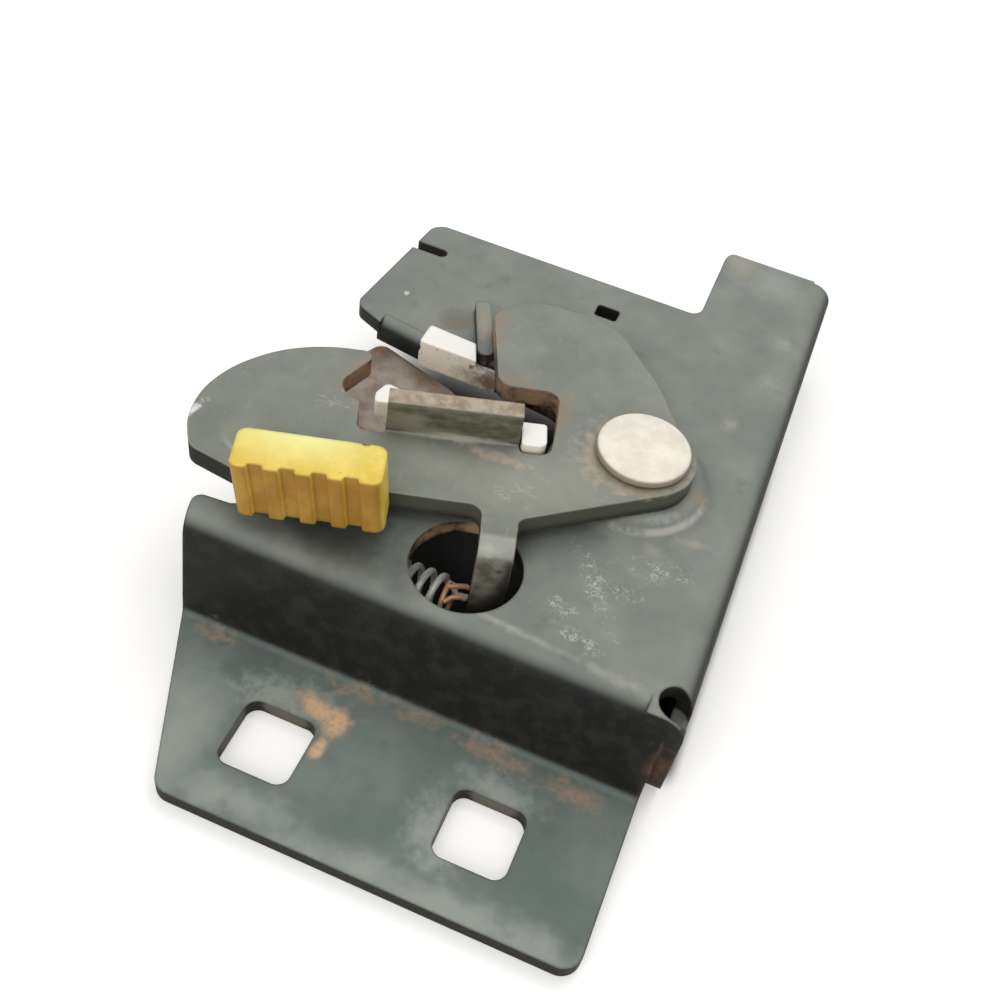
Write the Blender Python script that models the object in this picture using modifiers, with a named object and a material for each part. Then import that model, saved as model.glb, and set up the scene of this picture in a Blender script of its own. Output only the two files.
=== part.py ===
"""Bonnet latch for a car's front crossmember.

A pressed pan carries one large rivet. In front of the pan the safety lever turns on that rivet,
with a moulded finger grip on its edge, a white guide pad behind its upstand and a bent tail that
reaches through the round window to an extension spring. Behind the pan the primary catch turns on
the same rivet, over a spacer and a spool that carries its torsion spring.

Every outline is drawn round the rivet: x to the right along the long fold, y towards the tab,
z out of the plate, with z = 0 on the plate's outer face. The objects are then placed so that the
world origin lies between the two square holes, on the underside of the fixing flange.
"""

import math

import bmesh
import bpy
from mathutils import Matrix, Vector

MM = 0.001
CLEAR = 0.3 * MM
ARC_STEP = math.radians(22.5)
GRID = 0.001 * MM
STEP = 0.05 * MM
ROUND_SEGMENTS = 48
SHOULDER_STEPS = 4

# Pressed pan
SHEET = 2.6 * MM
PAN_DEPTH = 18.0 * MM
FOLD_RADIUS = 4.0 * MM
PLATE_RIGHT = 20.4 * MM
PLATE_TOP = 45.0 * MM
PLATE_LEFT = -55.6 * MM
PLATE_CORNER = 3.0 * MM
FOLD_Y = -37.1 * MM
WEB_LEAN = 3.2 * MM
JAW_LEFT = -51.2 * MM
JAW_Y = 13.9 * MM
JAW_SLOPE = -0.16
JAW_DROP = 4.0 * MM
JAW_BEND_RADIUS = 0.4 * MM
LOWER_JAW_LEFT = -58.6 * MM
LOWER_JAW_Y = -34.3 * MM

# Cable tab at the far corner
TAB_LEFT = -1.2 * MM
TAB_TOP = 69.0 * MM
TAB_RIGHT = 16.8 * MM
WALL_END_Y = 66.4 * MM
TAB_FOLD_DEPTH = 11.0 * MM
CABLE_SLOT_WIDTH = 5.0 * MM
CABLE_SLOT_DEPTH = 6.0 * MM

# Fixing flange with its two square holes
FLANGE_EDGE_Y = -70.5 * MM
FLANGE_RIGHT = 18.0 * MM
FLANGE_LEFT = -57.0 * MM
FLANGE_TAPER = 12.2 * MM
FLANGE_CORNER = 3.0 * MM
SQUARE_HOLE = 11.1 * MM
SQUARE_HOLE_CORNER = 2.0 * MM
SQUARE_HOLE_SPACING = 33.2 * MM
SQUARE_HOLE_MID_X = -17.6 * MM
SQUARE_HOLE_Y = -57.5 * MM

# Striker channel through the plate
SEAT_X = -14.5 * MM
SEAT_TOP = 8.6 * MM
SEAT_BOTTOM = -8.0 * MM
SEAT_CORNER = 2.2 * MM
SEAT_FLANGE_DEPTH = 8.0 * MM
SEAT_FLANGE_TOP = 4.1 * MM

# Small features of the plate
WINDOW_X = -17.3 * MM
WINDOW_Y = -28.5 * MM
WINDOW_RADIUS = 8.5 * MM
BOSS_RADIUS = 13.8 * MM
BOSS_HEIGHT = 2.1 * MM
BOSS_SHOULDER = 4.6 * MM
BOSS_WALL = 1.4 * MM
RELIEF_RADIUS = 2.8 * MM
DIMPLE_X = -39.9 * MM
DIMPLE_Y = 21.4 * MM
DIMPLE_RADIUS = 3.3 * MM
DIMPLE_DEPTH = 1.0 * MM
RIB_HEIGHT = 2.0 * MM
RIB_ROOT = 0.4 * MM
RIB_EDGE = 0.7 * MM
RIB_WIDTH = 2.8 * MM
RIB_LENGTH = 14.0 * MM
RIB_END_X = -31.2 * MM
RIB_END_Y = 13.2 * MM
RIB_ANGLE = math.radians(114.0)
TOP_SLOT_LENGTH = 6.0 * MM
TOP_SLOT_WIDTH = 2.2 * MM
TOP_SLOT_Y = 37.2 * MM
TOP_HOLE_X = -16.7 * MM
TOP_HOLE_Y = 36.9 * MM
TOP_HOLE_LENGTH = 4.2 * MM
TOP_HOLE_WIDTH = 3.2 * MM
ANCHOR_X = -48.5 * MM
ANCHOR_Y = -25.2 * MM
ANCHOR_WIDTH = 5.0 * MM
ANCHOR_DROP = 15.5 * MM
WIRE_HOLE_RADIUS = 1.2 * MM

# Rivet stack on the pivot
RIVET_HEAD_RADIUS = 7.5 * MM
RIVET_HEAD_THICK = 1.5 * MM
RIVET_SHANK_RADIUS = 4.5 * MM
RIVET_TAIL_RADIUS = 7.2 * MM
RIVET_TAIL_THICK = 1.7 * MM
SPACER_RADIUS = 7.5 * MM
SPOOL_RADIUS = 5.6 * MM
SPOOL_LENGTH = 6.4 * MM
WASHER_RADIUS = 9.0 * MM
WASHER_THICK = 1.5 * MM

# Safety lever
LEVER_THICK = 3.5 * MM
LEVER_EDGE_RADIUS = 0.6 * MM
ARM_ANGLE = math.radians(17.6)
ARM_EDGE_N = -15.0 * MM
TAIL_LEFT_S = -23.9 * MM
TAIL_WIDTH = 5.4 * MM
TAIL_FACE_N = -23.0 * MM
TAIL_END = -15.2 * MM
TAIL_BEND_RADIUS = 0.3 * MM
TAIL_HOLE_S = TAIL_LEFT_S + 2.3 * MM
BEND_RADIUS = 1.2 * MM
UPSTAND_ANGLE = math.radians(19.7)
UPSTAND_THICK = 3.0 * MM
UPSTAND_BEND_RADIUS = 0.5 * MM
UPSTAND_LEFT = -39.9 * MM
UPSTAND_RIGHT = -19.4 * MM
UPSTAND_FACE_N = -1.2 * MM
UPSTAND_HEIGHT = 6.1 * MM

# Finger grip, moulded over the lug on the lever's edge
GRIP_LENGTH = 21.2 * MM
GRIP_MID_S = -49.0 * MM
GRIP_BACK_N = -13.7 * MM
GRIP_DEPTH = 7.6 * MM
GRIP_DROP = 2.0 * MM
GRIP_HEIGHT = 10.0 * MM
GRIP_CORNER = 1.6 * MM
GRIP_WALL = 2.0 * MM
GROOVE_COUNT = 4
GROOVE_PITCH = 4.45 * MM
GROOVE_WIDTH = 2.5 * MM
GROOVE_DEPTH = 0.8 * MM
GRIP_LEAN = 0.09
LUG_WIDTH = 16.4 * MM
LUG_HEIGHT = 5.6 * MM

# Guide pad behind the upstand
PAD_THICK = 2.0 * MM
PAD_TOP = 2.0 * MM
PAD_BOTTOM = 0.8 * MM
PAD_LIP_ROOT = 1.0 * MM
PAD_EAR_LENGTH = 4.2 * MM
PAD_EAR_TOP = 1.2 * MM
PAD_EAR_REACH = 1.0 * MM

# Jaw block, clipped over the upper jaw
BLOCK_LEFT = -42.6 * MM
BLOCK_WIDTH = 14.4 * MM
BLOCK_CAP_WIDTH = 10.4 * MM
BLOCK_FRONT_Y = 11.3 * MM
BLOCK_WALL = 2.0 * MM
BLOCK_CAP_REACH = 4.8 * MM
BLOCK_PROUD = 1.5 * MM
BLOCK_LEAF = 1.0 * MM

# Primary catch
CATCH_THICK = 3.0 * MM
CATCH_HUB_RADIUS = 9.0 * MM
CATCH_HOLD_RADIUS = 25.5 * MM
CATCH_ARM_TOP = -6.0 * MM
CATCH_ARM_X = 12.0 * MM
CABLE_HOLE_RADIUS = 1.6 * MM

# Springs
SAFETY_WIRE_RADIUS = 0.55 * MM
SAFETY_COIL_RADIUS = 3.7 * MM
SAFETY_PITCH = 2.2 * MM
SAFETY_TURNS = 9
SAFETY_START_X = -21.2 * MM
SAFETY_Y = -27.0 * MM
SAFETY_Z = -12.4 * MM
CATCH_WIRE_RADIUS = 0.8 * MM
CATCH_COIL_RADIUS = 7.3 * MM
CATCH_TURNS = 2.5
CATCH_COIL_PITCH = 1.75 * MM

# Heights that follow from the stack
LEVER_BOTTOM = BOSS_HEIGHT + CLEAR
LEVER_TOP = LEVER_BOTTOM + LEVER_THICK
BORE_RADIUS = RIVET_SHANK_RADIUS + CLEAR
BOSS_UNDERSIDE = BOSS_HEIGHT - SHEET
CATCH_TOP = -JAW_DROP - 0.5 * MM
CATCH_BOTTOM = CATCH_TOP - CATCH_THICK
SPOOL_BOTTOM = CATCH_BOTTOM - CLEAR - SPOOL_LENGTH
WASHER_BOTTOM = SPOOL_BOTTOM - CLEAR - WASHER_THICK
FLANGE_TOP = -PAN_DEPTH
FLANGE_BOTTOM = FLANGE_TOP - SHEET
WALL_INNER_X = PLATE_RIGHT - SHEET
PIVOT = Vector((-SQUARE_HOLE_MID_X, -SQUARE_HOLE_Y, -FLANGE_BOTTOM))


# Modelling helpers

def clear_scene():
    for item in list(bpy.data.objects):
        bpy.data.objects.remove(item, do_unlink=True)


def rounded(corners):
    """Outline through corners (x, y, radius), each corner turned into an arc."""
    points = []
    count = len(corners)
    for i, (x, y, radius) in enumerate(corners):
        here = Vector((x, y))
        if radius <= 0:
            points.append((x, y))
            continue
        before = Vector(corners[i - 1][:2]) - here
        after = Vector(corners[(i + 1) % count][:2]) - here
        to_before = before.normalized()
        to_after = after.normalized()
        half = to_before.angle(to_after) / 2
        reach = radius / math.tan(half)
        limit = 0.49 * min(before.length, after.length)
        if reach > limit:
            reach = limit
            radius = reach * math.tan(half)
        centre = here + (to_before + to_after).normalized() * (radius / math.sin(half))
        spoke = here + to_before * reach - centre
        turn = math.copysign(math.pi - 2 * half, spoke.cross(here + to_after * reach - centre))
        steps = max(1, math.ceil(abs(turn) / ARC_STEP))
        for k in range(steps + 1):
            points.append(tuple(centre + Matrix.Rotation(turn * k / steps, 2) @ spoke))
    return points


def circle(x, y, radius, segments=ROUND_SEGMENTS):
    return [(x + radius * math.cos(2 * math.pi * k / segments),
             y + radius * math.sin(2 * math.pi * k / segments)) for k in range(segments)]


def arc(radius, start, end, steps):
    """Points on a circle round the pivot, from one angle to another."""
    angles = [start + (end - start) * k / steps for k in range(steps + 1)]
    return [(radius * math.cos(a), radius * math.sin(a)) for a in angles]


def turned_frame(angle, s, n):
    """Point of a frame turned about the pivot, s along it and n across it."""
    return (s * math.cos(angle) - n * math.sin(angle), s * math.sin(angle) + n * math.cos(angle))


def as_mesh(curve_object):
    """Replace a curve object with the mesh that it evaluates to."""
    depsgraph = bpy.context.evaluated_depsgraph_get()
    mesh = bpy.data.meshes.new_from_object(curve_object.evaluated_get(depsgraph))
    edit = bmesh.new()
    edit.from_mesh(mesh)
    bmesh.ops.remove_doubles(edit, verts=edit.verts, dist=1e-6)
    bmesh.ops.recalc_face_normals(edit, faces=edit.faces)
    edit.to_mesh(mesh)
    edit.free()
    solid = bpy.data.objects.new(curve_object.name + "_mesh", mesh)
    solid.matrix_world = curve_object.matrix_world
    bpy.context.scene.collection.objects.link(solid)
    bpy.data.objects.remove(curve_object, do_unlink=True)
    return solid


def bake(solid, matrix):
    """Move a mesh and round its corners to a fine grid, so that flush faces are exactly flush."""
    solid.data.transform(matrix)
    for vertex in solid.data.vertices:
        vertex.co = [round(value / GRID) * GRID for value in vertex.co]
    return solid


def plate_shape(outlines, bottom, top):
    """Flat piece between two heights; the first outline is the rim, the others are holes."""
    curve = bpy.data.curves.new("flat", "CURVE")
    curve.dimensions = "2D"
    curve.fill_mode = "BOTH"
    curve.extrude = (top - bottom) / 2
    for outline in outlines:
        spline = curve.splines.new("POLY")
        spline.points.add(len(outline) - 1)
        for point, (x, y) in zip(spline.points, outline):
            point.co = (x, y, 0, 1)
        spline.use_cyclic_u = True
    holder = bpy.data.objects.new("flat", curve)
    bpy.context.scene.collection.objects.link(holder)
    solid = as_mesh(holder)
    return bake(solid, Matrix.Translation((0, 0, (top + bottom) / 2)))


def soften(solid, radius, both=False):
    """Round the rim of a flat piece's top face, or of both its faces."""
    edit = bmesh.new()
    edit.from_mesh(solid.data)
    heights = [vertex.co.z for vertex in edit.verts]
    levels = [max(heights), min(heights)] if both else [max(heights)]
    rim = [edge for edge in edit.edges
           if edge.calc_face_angle(0) > 0.5
           and any(all(abs(v.co.z - level) < GRID for v in edge.verts) for level in levels)]
    bmesh.ops.bevel(edit, geom=rim, offset=radius, segments=2, profile=0.5, affect="EDGES", clamp_overlap=True)
    edit.to_mesh(solid.data)
    edit.free()
    return solid


def bent_section(path, radii, thickness):
    """Closed section of a bent sheet, from the line along its middle."""
    line = [path[0]]
    for i in range(1, len(path) - 1):
        corners = [(*path[i - 1], 0), (*path[i], radii[i - 1]), (*path[i + 1], 0)]
        line += rounded(corners)[1:-1]
    line.append(path[-1])
    left, right = [], []
    for i, point in enumerate(line):
        ahead = Vector(line[min(i + 1, len(line) - 1)]) - Vector(point)
        behind = Vector(point) - Vector(line[max(i - 1, 0)])
        a = ahead.normalized() if ahead.length > 0 else behind.normalized()
        b = behind.normalized() if behind.length > 0 else a
        along = (a + b).normalized()
        stretch = thickness / 2 / max(along.dot(a), 0.5)
        side = Vector((-along.y, along.x)) * stretch
        left.append(tuple(Vector(point) + side))
        right.append(tuple(Vector(point) - side))
    return left + right[::-1]


def stand_up(solid):
    """Turn a flat piece drawn in x and z, so that its thickness runs along y."""
    bake(solid, Matrix(((1, 0, 0, 0), (0, 0, 1, 0), (0, 1, 0, 0), (0, 0, 0, 1))))
    solid.data.flip_normals()
    return solid


def swept(section, start, end, angle=0.0):
    """Run an (n, z) section along s, in a frame turned about the pivot by the angle."""
    solid = plate_shape([section], start, end)
    axes = Matrix(((0, 0, 1, 0), (1, 0, 0, 0), (0, 1, 0, 0), (0, 0, 0, 1)))
    return bake(solid, Matrix.Rotation(angle, 4, "Z") @ axes)


def box(low, high, angle=0.0):
    bpy.ops.mesh.primitive_cube_add(size=1)
    solid = bpy.context.active_object
    size = [b - a for a, b in zip(low, high)]
    middle = [(a + b) / 2 for a, b in zip(low, high)]
    placed = Matrix.Translation(middle) @ Matrix.Diagonal((*size, 1))
    return bake(solid, Matrix.Rotation(angle, 4, "Z") @ placed)


def turned(profile, segments=ROUND_SEGMENTS):
    """Solid of revolution round the pivot; profile (radius, z) runs from top to bottom."""
    mesh = bpy.data.meshes.new("turned")
    edit = bmesh.new()
    verts = [edit.verts.new((radius, 0, z)) for radius, z in profile]
    for a, b in zip(verts, verts[1:]):
        edit.edges.new((a, b))
    if profile[0][0] > 0:
        edit.edges.new((verts[-1], verts[0]))
    edit.to_mesh(mesh)
    edit.free()
    solid = bpy.data.objects.new("turned", mesh)
    bpy.context.scene.collection.objects.link(solid)
    screw = solid.modifiers.new("Screw", "SCREW")
    screw.steps = segments
    screw.render_steps = segments
    screw.use_merge_vertices = True
    screw.merge_threshold = 0.00001
    solid.data = evaluated_mesh(solid)
    solid.modifiers.clear()
    return bake(solid, Matrix())


def evaluated_mesh(solid):
    depsgraph = bpy.context.evaluated_depsgraph_get()
    return bpy.data.meshes.new_from_object(solid.evaluated_get(depsgraph))


def tidy_faces(solid):
    """Weld stray corners and drop the slivers that the Booleans leave."""
    edit = bmesh.new()
    edit.from_mesh(solid.data)
    bmesh.ops.remove_doubles(edit, verts=edit.verts, dist=2 * GRID)
    bmesh.ops.dissolve_degenerate(edit, edges=edit.edges, dist=GRID)
    loose = [face for face in edit.faces if all(len(edge.link_faces) == 1 for edge in face.edges)]
    bmesh.ops.delete(edit, geom=loose, context="FACES")
    edit.to_mesh(solid.data)
    edit.free()


def combine(solid, other, operation):
    """Boolean with another solid, which is used up."""
    modifier = solid.modifiers.new("Boolean", "BOOLEAN")
    modifier.object = other
    modifier.operation = operation
    modifier.solver = "EXACT"
    mesh = evaluated_mesh(solid)
    solid.modifiers.clear()
    solid.data = mesh
    bpy.data.objects.remove(other, do_unlink=True)
    tidy_faces(solid)
    return solid


def join(solid, other):
    return combine(solid, other, "UNION")


def cut(solid, other):
    return combine(solid, other, "DIFFERENCE")


def keep(solid, other):
    return combine(solid, other, "INTERSECT")


def wire(points, radius):
    """Round wire through the points, with closed ends."""
    curve = bpy.data.curves.new("wire", "CURVE")
    curve.dimensions = "3D"
    curve.bevel_depth = radius
    curve.bevel_resolution = 2
    curve.use_fill_caps = True
    spline = curve.splines.new("POLY")
    spline.points.add(len(points) - 1)
    for point, place in zip(spline.points, points):
        point.co = (*place, 1)
    holder = bpy.data.objects.new("wire", curve)
    bpy.context.scene.collection.objects.link(holder)
    return as_mesh(holder)


def finish(solid, name, material, collection):
    """Name a solid, give it its material and set it on the pivot axis."""
    solid.name = name
    solid.data.name = name
    solid.data.materials.clear()
    solid.data.materials.append(material)
    solid.data.shade_smooth()
    solid.data.set_sharp_from_angle(angle=math.radians(35))
    solid.location = PIVOT
    for owner in list(solid.users_collection):
        owner.objects.unlink(solid)
    collection.objects.link(solid)
    return solid


def surface(name, colour, roughness, metallic):
    material = bpy.data.materials.new(name)
    material.use_nodes = True
    shader = material.node_tree.nodes["Principled BSDF"]
    shader.inputs["Base Color"].default_value = (*colour, 1)
    shader.inputs["Roughness"].default_value = roughness
    shader.inputs["Metallic"].default_value = metallic
    return material


# Pressed pan

def jaw_y(x):
    """Edge of the upper jaw, which falls gently towards the seat."""
    return JAW_Y + JAW_SLOPE * (x - JAW_LEFT)


def pan_outline():
    block_right = BLOCK_LEFT + BLOCK_WIDTH
    notch_left = BLOCK_LEFT - CLEAR
    notch_right = block_right + CLEAR
    notch_y = BLOCK_FRONT_Y + BLOCK_WALL + CLEAR
    return rounded([
        (PLATE_LEFT + 1.6 * MM, PLATE_TOP, PLATE_CORNER),
        (TAB_LEFT, PLATE_TOP, 2.2 * MM),
        (TAB_LEFT, TAB_TOP + 1 * MM, 3.4 * MM),
        (TAB_RIGHT, TAB_TOP + 1 * MM, 0),
        (TAB_RIGHT, WALL_END_Y - 1 * MM, 0),
        (FLANGE_RIGHT, WALL_END_Y - 1 * MM, 0),
        (FLANGE_RIGHT, FLANGE_EDGE_Y, FLANGE_CORNER),
        (FLANGE_LEFT + FLANGE_TAPER, FLANGE_EDGE_Y, FLANGE_CORNER),
        (FLANGE_LEFT, FOLD_Y - WEB_LEAN - 2 * MM, 2 * MM),
        (LOWER_JAW_LEFT, LOWER_JAW_Y, 1.5 * MM),
        (-52.5 * MM, LOWER_JAW_Y + 0.5 * MM, 2 * MM),
        (-44.0 * MM, -23.0 * MM, 8 * MM),
        (-31.0 * MM, SEAT_BOTTOM - 3.0 * MM, 9 * MM),
        (SEAT_X, SEAT_BOTTOM, SEAT_CORNER),
        (SEAT_X, SEAT_TOP, 4 * MM),
        (notch_right, SEAT_TOP + 1.6 * MM, 0),
        (notch_right, notch_y, 0),
        (notch_left, notch_y, 0),
        (notch_left, jaw_y(notch_left) + SHEET, 0),
        (JAW_LEFT, JAW_Y + SHEET, 0),
        (JAW_LEFT, JAW_Y + STEP, 0),
        (PLATE_LEFT - 1.4 * MM, JAW_Y + 2.6 * MM, 2.6 * MM),
    ])


def pan_body():
    """Tab end, plate, web and flange as one bent section, trimmed to the pan's outline."""
    mid = SHEET / 2
    radius = FOLD_RADIUS - mid
    path = [(TAB_TOP - mid, -TAB_FOLD_DEPTH), (TAB_TOP - mid, -mid), (FOLD_Y - mid, -mid),
            (FOLD_Y - mid - WEB_LEAN, FLANGE_TOP - mid), (FLANGE_EDGE_Y - 5 * MM, FLANGE_TOP - mid)]
    section = bent_section(path, [radius, radius, radius], SHEET)
    body = swept(section, LOWER_JAW_LEFT - 10 * MM, FLANGE_RIGHT + 5 * MM)
    return keep(body, plate_shape([pan_outline()], 2 * FLANGE_BOTTOM, 2 * SHEET))


def right_wall():
    """Side wall bent down along the plate's right edge."""
    mid = SHEET / 2
    path = [(0, -mid), (PLATE_RIGHT - mid, -mid), (PLATE_RIGHT - mid, FLANGE_BOTTOM)]
    section = bent_section(path, [FOLD_RADIUS - mid], SHEET)
    wall = plate_shape([section], FOLD_Y - WEB_LEAN, WALL_END_Y)
    stand_up(wall)
    strip = box((WALL_INNER_X - 3.5 * MM, -1, -1), (1, 1, 1))
    side = rounded([
        (FOLD_Y - WEB_LEAN, 1 * MM, 0), (FOLD_Y - WEB_LEAN, FLANGE_BOTTOM, 5 * MM),
        (WALL_END_Y, FLANGE_BOTTOM, 4 * MM), (WALL_END_Y, 1 * MM, 0)])
    return keep(keep(wall, strip), swept(side, 0, 2 * PLATE_RIGHT))


def jaw_flange():
    """Down-turned edge of the upper jaw, left of the white block."""
    angle = math.atan(JAW_SLOPE)
    edge = JAW_Y * math.cos(angle) - JAW_LEFT * math.sin(angle)
    thickness = SHEET - 2 * STEP
    mid = thickness / 2
    path = [(edge + 8 * MM, -SHEET / 2), (edge + mid, -SHEET / 2), (edge + mid, -JAW_DROP)]
    section = bent_section(path, [JAW_BEND_RADIUS + mid], thickness)
    start = JAW_LEFT * math.cos(angle) + JAW_Y * math.sin(angle)
    flange = swept(section, start - 0.4 * MM, start + 2 * BLOCK_WIDTH, angle)
    strip = box((-1, JAW_Y - 8 * MM, -1), (BLOCK_LEFT - CLEAR - STEP, 1, 1))
    return keep(flange, strip)


def seat_flange():
    """Down-turned end of the striker seat, which also stops the primary catch."""
    face = SEAT_X + STEP
    return box((face, CATCH_ARM_TOP + CLEAR, -SEAT_FLANGE_DEPTH), (face + SHEET, SEAT_FLANGE_TOP, -SHEET / 2))


def cable_slot():
    """Cutter for the slot in the tab's turned-down end, which holds the cable's outer sleeve."""
    left = CATCH_ARM_X - CABLE_SLOT_WIDTH / 2
    right = CATCH_ARM_X + CABLE_SLOT_WIDTH / 2
    top = CABLE_SLOT_DEPTH - TAB_FOLD_DEPTH
    mouth = rounded([(left, -2 * TAB_FOLD_DEPTH, 0), (right, -2 * TAB_FOLD_DEPTH, 0),
                     (right, top, CABLE_SLOT_WIDTH / 2), (left, top, CABLE_SLOT_WIDTH / 2)])
    return stand_up(plate_shape([mouth], TAB_TOP - 2 * SHEET, TAB_TOP + SHEET))


def spring_anchor():
    """Ear bent down from the lower jaw, with the hole for the safety spring's far hook."""
    thickness = SHEET - 2 * STEP
    mid = thickness / 2
    middle = ANCHOR_Y - SHEET / 2
    path = [(LOWER_JAW_Y - 2 * MM, -SHEET / 2), (middle, -SHEET / 2), (middle, -ANCHOR_DROP)]
    section = bent_section(path, [BEND_RADIUS + mid], thickness)
    left = ANCHOR_X - ANCHOR_WIDTH / 2
    right = ANCHOR_X + ANCHOR_WIDTH / 2
    ear = swept(section, left, right)
    outline = rounded([(left - 1 * MM, 1 * MM, 0), (left, -ANCHOR_DROP, 2.2 * MM),
                       (right, -ANCHOR_DROP, 2.2 * MM), (right + 1 * MM, 1 * MM, 0)])
    ear = keep(ear, stand_up(plate_shape([outline], middle - 8 * MM, middle + 8 * MM)))
    hole = circle(ANCHOR_X, SAFETY_Z, WIRE_HOLE_RADIUS, 16)
    return cut(ear, stand_up(plate_shape([hole], middle - SHEET, middle + SHEET)))


def boss():
    """Raised seat round the rivet, pressed up from the plate."""
    shoulder = []
    for k in range(SHOULDER_STEPS):
        part = k / SHOULDER_STEPS
        rise = (1 + math.cos(math.pi * part)) / 2
        shoulder.append((BOSS_RADIUS - BOSS_SHOULDER * (1 - part), BOSS_HEIGHT * rise))
    profile = [(0, BOSS_HEIGHT)] + shoulder + [(BOSS_RADIUS, -STEP), (BOSS_RADIUS, -SHEET / 2), (0, -SHEET / 2)]
    return turned(profile)


def boss_hollow():
    """The hollow that the pressed boss leaves on the plate's back."""
    inner = BOSS_RADIUS - BOSS_WALL
    profile = [(0, BOSS_UNDERSIDE), (inner - BOSS_SHOULDER, BOSS_UNDERSIDE),
               (inner, -SHEET - 0.1 * MM), (inner, -2 * SHEET), (0, -2 * SHEET)]
    return turned(profile)


def stop_rib():
    """Short rib pressed up beside the white block."""
    half = RIB_WIDTH / 2
    outline = rounded([(0, -half, half), (0, half, half),
                       (RIB_LENGTH, half, half * 0.6), (RIB_LENGTH, -half, half * 0.6)])
    rib = soften(plate_shape([outline], -RIB_ROOT, RIB_HEIGHT), RIB_EDGE)
    return bake(rib, Matrix.Translation((RIB_END_X, RIB_END_Y, 0)) @ Matrix.Rotation(RIB_ANGLE, 4, "Z"))


def square_holes():
    """Cutters for the two square holes of the fixing flange."""
    half = SQUARE_HOLE / 2
    low, high = SQUARE_HOLE_Y - half, SQUARE_HOLE_Y + half
    cutters = []
    for side in (-1, 1):
        x = SQUARE_HOLE_MID_X + side * SQUARE_HOLE_SPACING / 2
        square = [(x - half, low), (x + half, low), (x + half, high), (x - half, high)]
        outline = rounded([(*corner, SQUARE_HOLE_CORNER) for corner in square])
        cutters.append(plate_shape([outline], FLANGE_BOTTOM - SHEET, FLANGE_TOP + SHEET))
    return cutters


def plate_cutters():
    """Every hole through the plate."""
    low, high = 2 * FLANGE_BOTTOM, 2 * BOSS_HEIGHT
    cutters = [plate_shape([circle(0, 0, BORE_RADIUS)], low, high)]
    cutters.append(plate_shape([circle(WINDOW_X, WINDOW_Y, WINDOW_RADIUS)], -2 * SHEET, high))
    relief = circle(FLANGE_RIGHT, FOLD_Y, RELIEF_RADIUS, 24)
    cutters.append(plate_shape([relief], -2 * SHEET, high))
    slot_end = PLATE_LEFT + 1.1 * MM + TOP_SLOT_LENGTH
    half = TOP_SLOT_WIDTH / 2
    slot = rounded([(PLATE_LEFT - 5 * MM, TOP_SLOT_Y - half, 0), (slot_end, TOP_SLOT_Y - half, half),
                    (slot_end, TOP_SLOT_Y + half, half), (PLATE_LEFT - 5 * MM, TOP_SLOT_Y + half, 0)])
    cutters.append(plate_shape([slot], low, high))
    x, y = TOP_HOLE_LENGTH / 2, TOP_HOLE_WIDTH / 2
    hole = rounded([(TOP_HOLE_X - x, TOP_HOLE_Y - y, 0.6 * MM), (TOP_HOLE_X + x, TOP_HOLE_Y - y, 0.6 * MM),
                    (TOP_HOLE_X + x, TOP_HOLE_Y + y, 0.6 * MM), (TOP_HOLE_X - x, TOP_HOLE_Y + y, 0.6 * MM)])
    cutters.append(plate_shape([hole], low, high))
    return cutters


def dimple():
    """Shallow round dent above the white block."""
    ball = (DIMPLE_RADIUS ** 2 + DIMPLE_DEPTH ** 2) / (2 * DIMPLE_DEPTH)
    bpy.ops.mesh.primitive_uv_sphere_add(segments=48, ring_count=48, radius=ball)
    sphere = bpy.context.active_object
    return bake(sphere, Matrix.Translation((DIMPLE_X, DIMPLE_Y, ball - DIMPLE_DEPTH)))


def base_plate():
    pan = pan_body()
    for cutter in square_holes():
        pan = cut(pan, cutter)
    pan = cut(pan, dimple())
    for piece in (right_wall(), jaw_flange(), seat_flange(), spring_anchor(), boss(), stop_rib()):
        pan = join(pan, piece)
    for cutter in [boss_hollow(), cable_slot()] + plate_cutters():
        pan = cut(pan, cutter)
    return pan


# Safety lever

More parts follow.
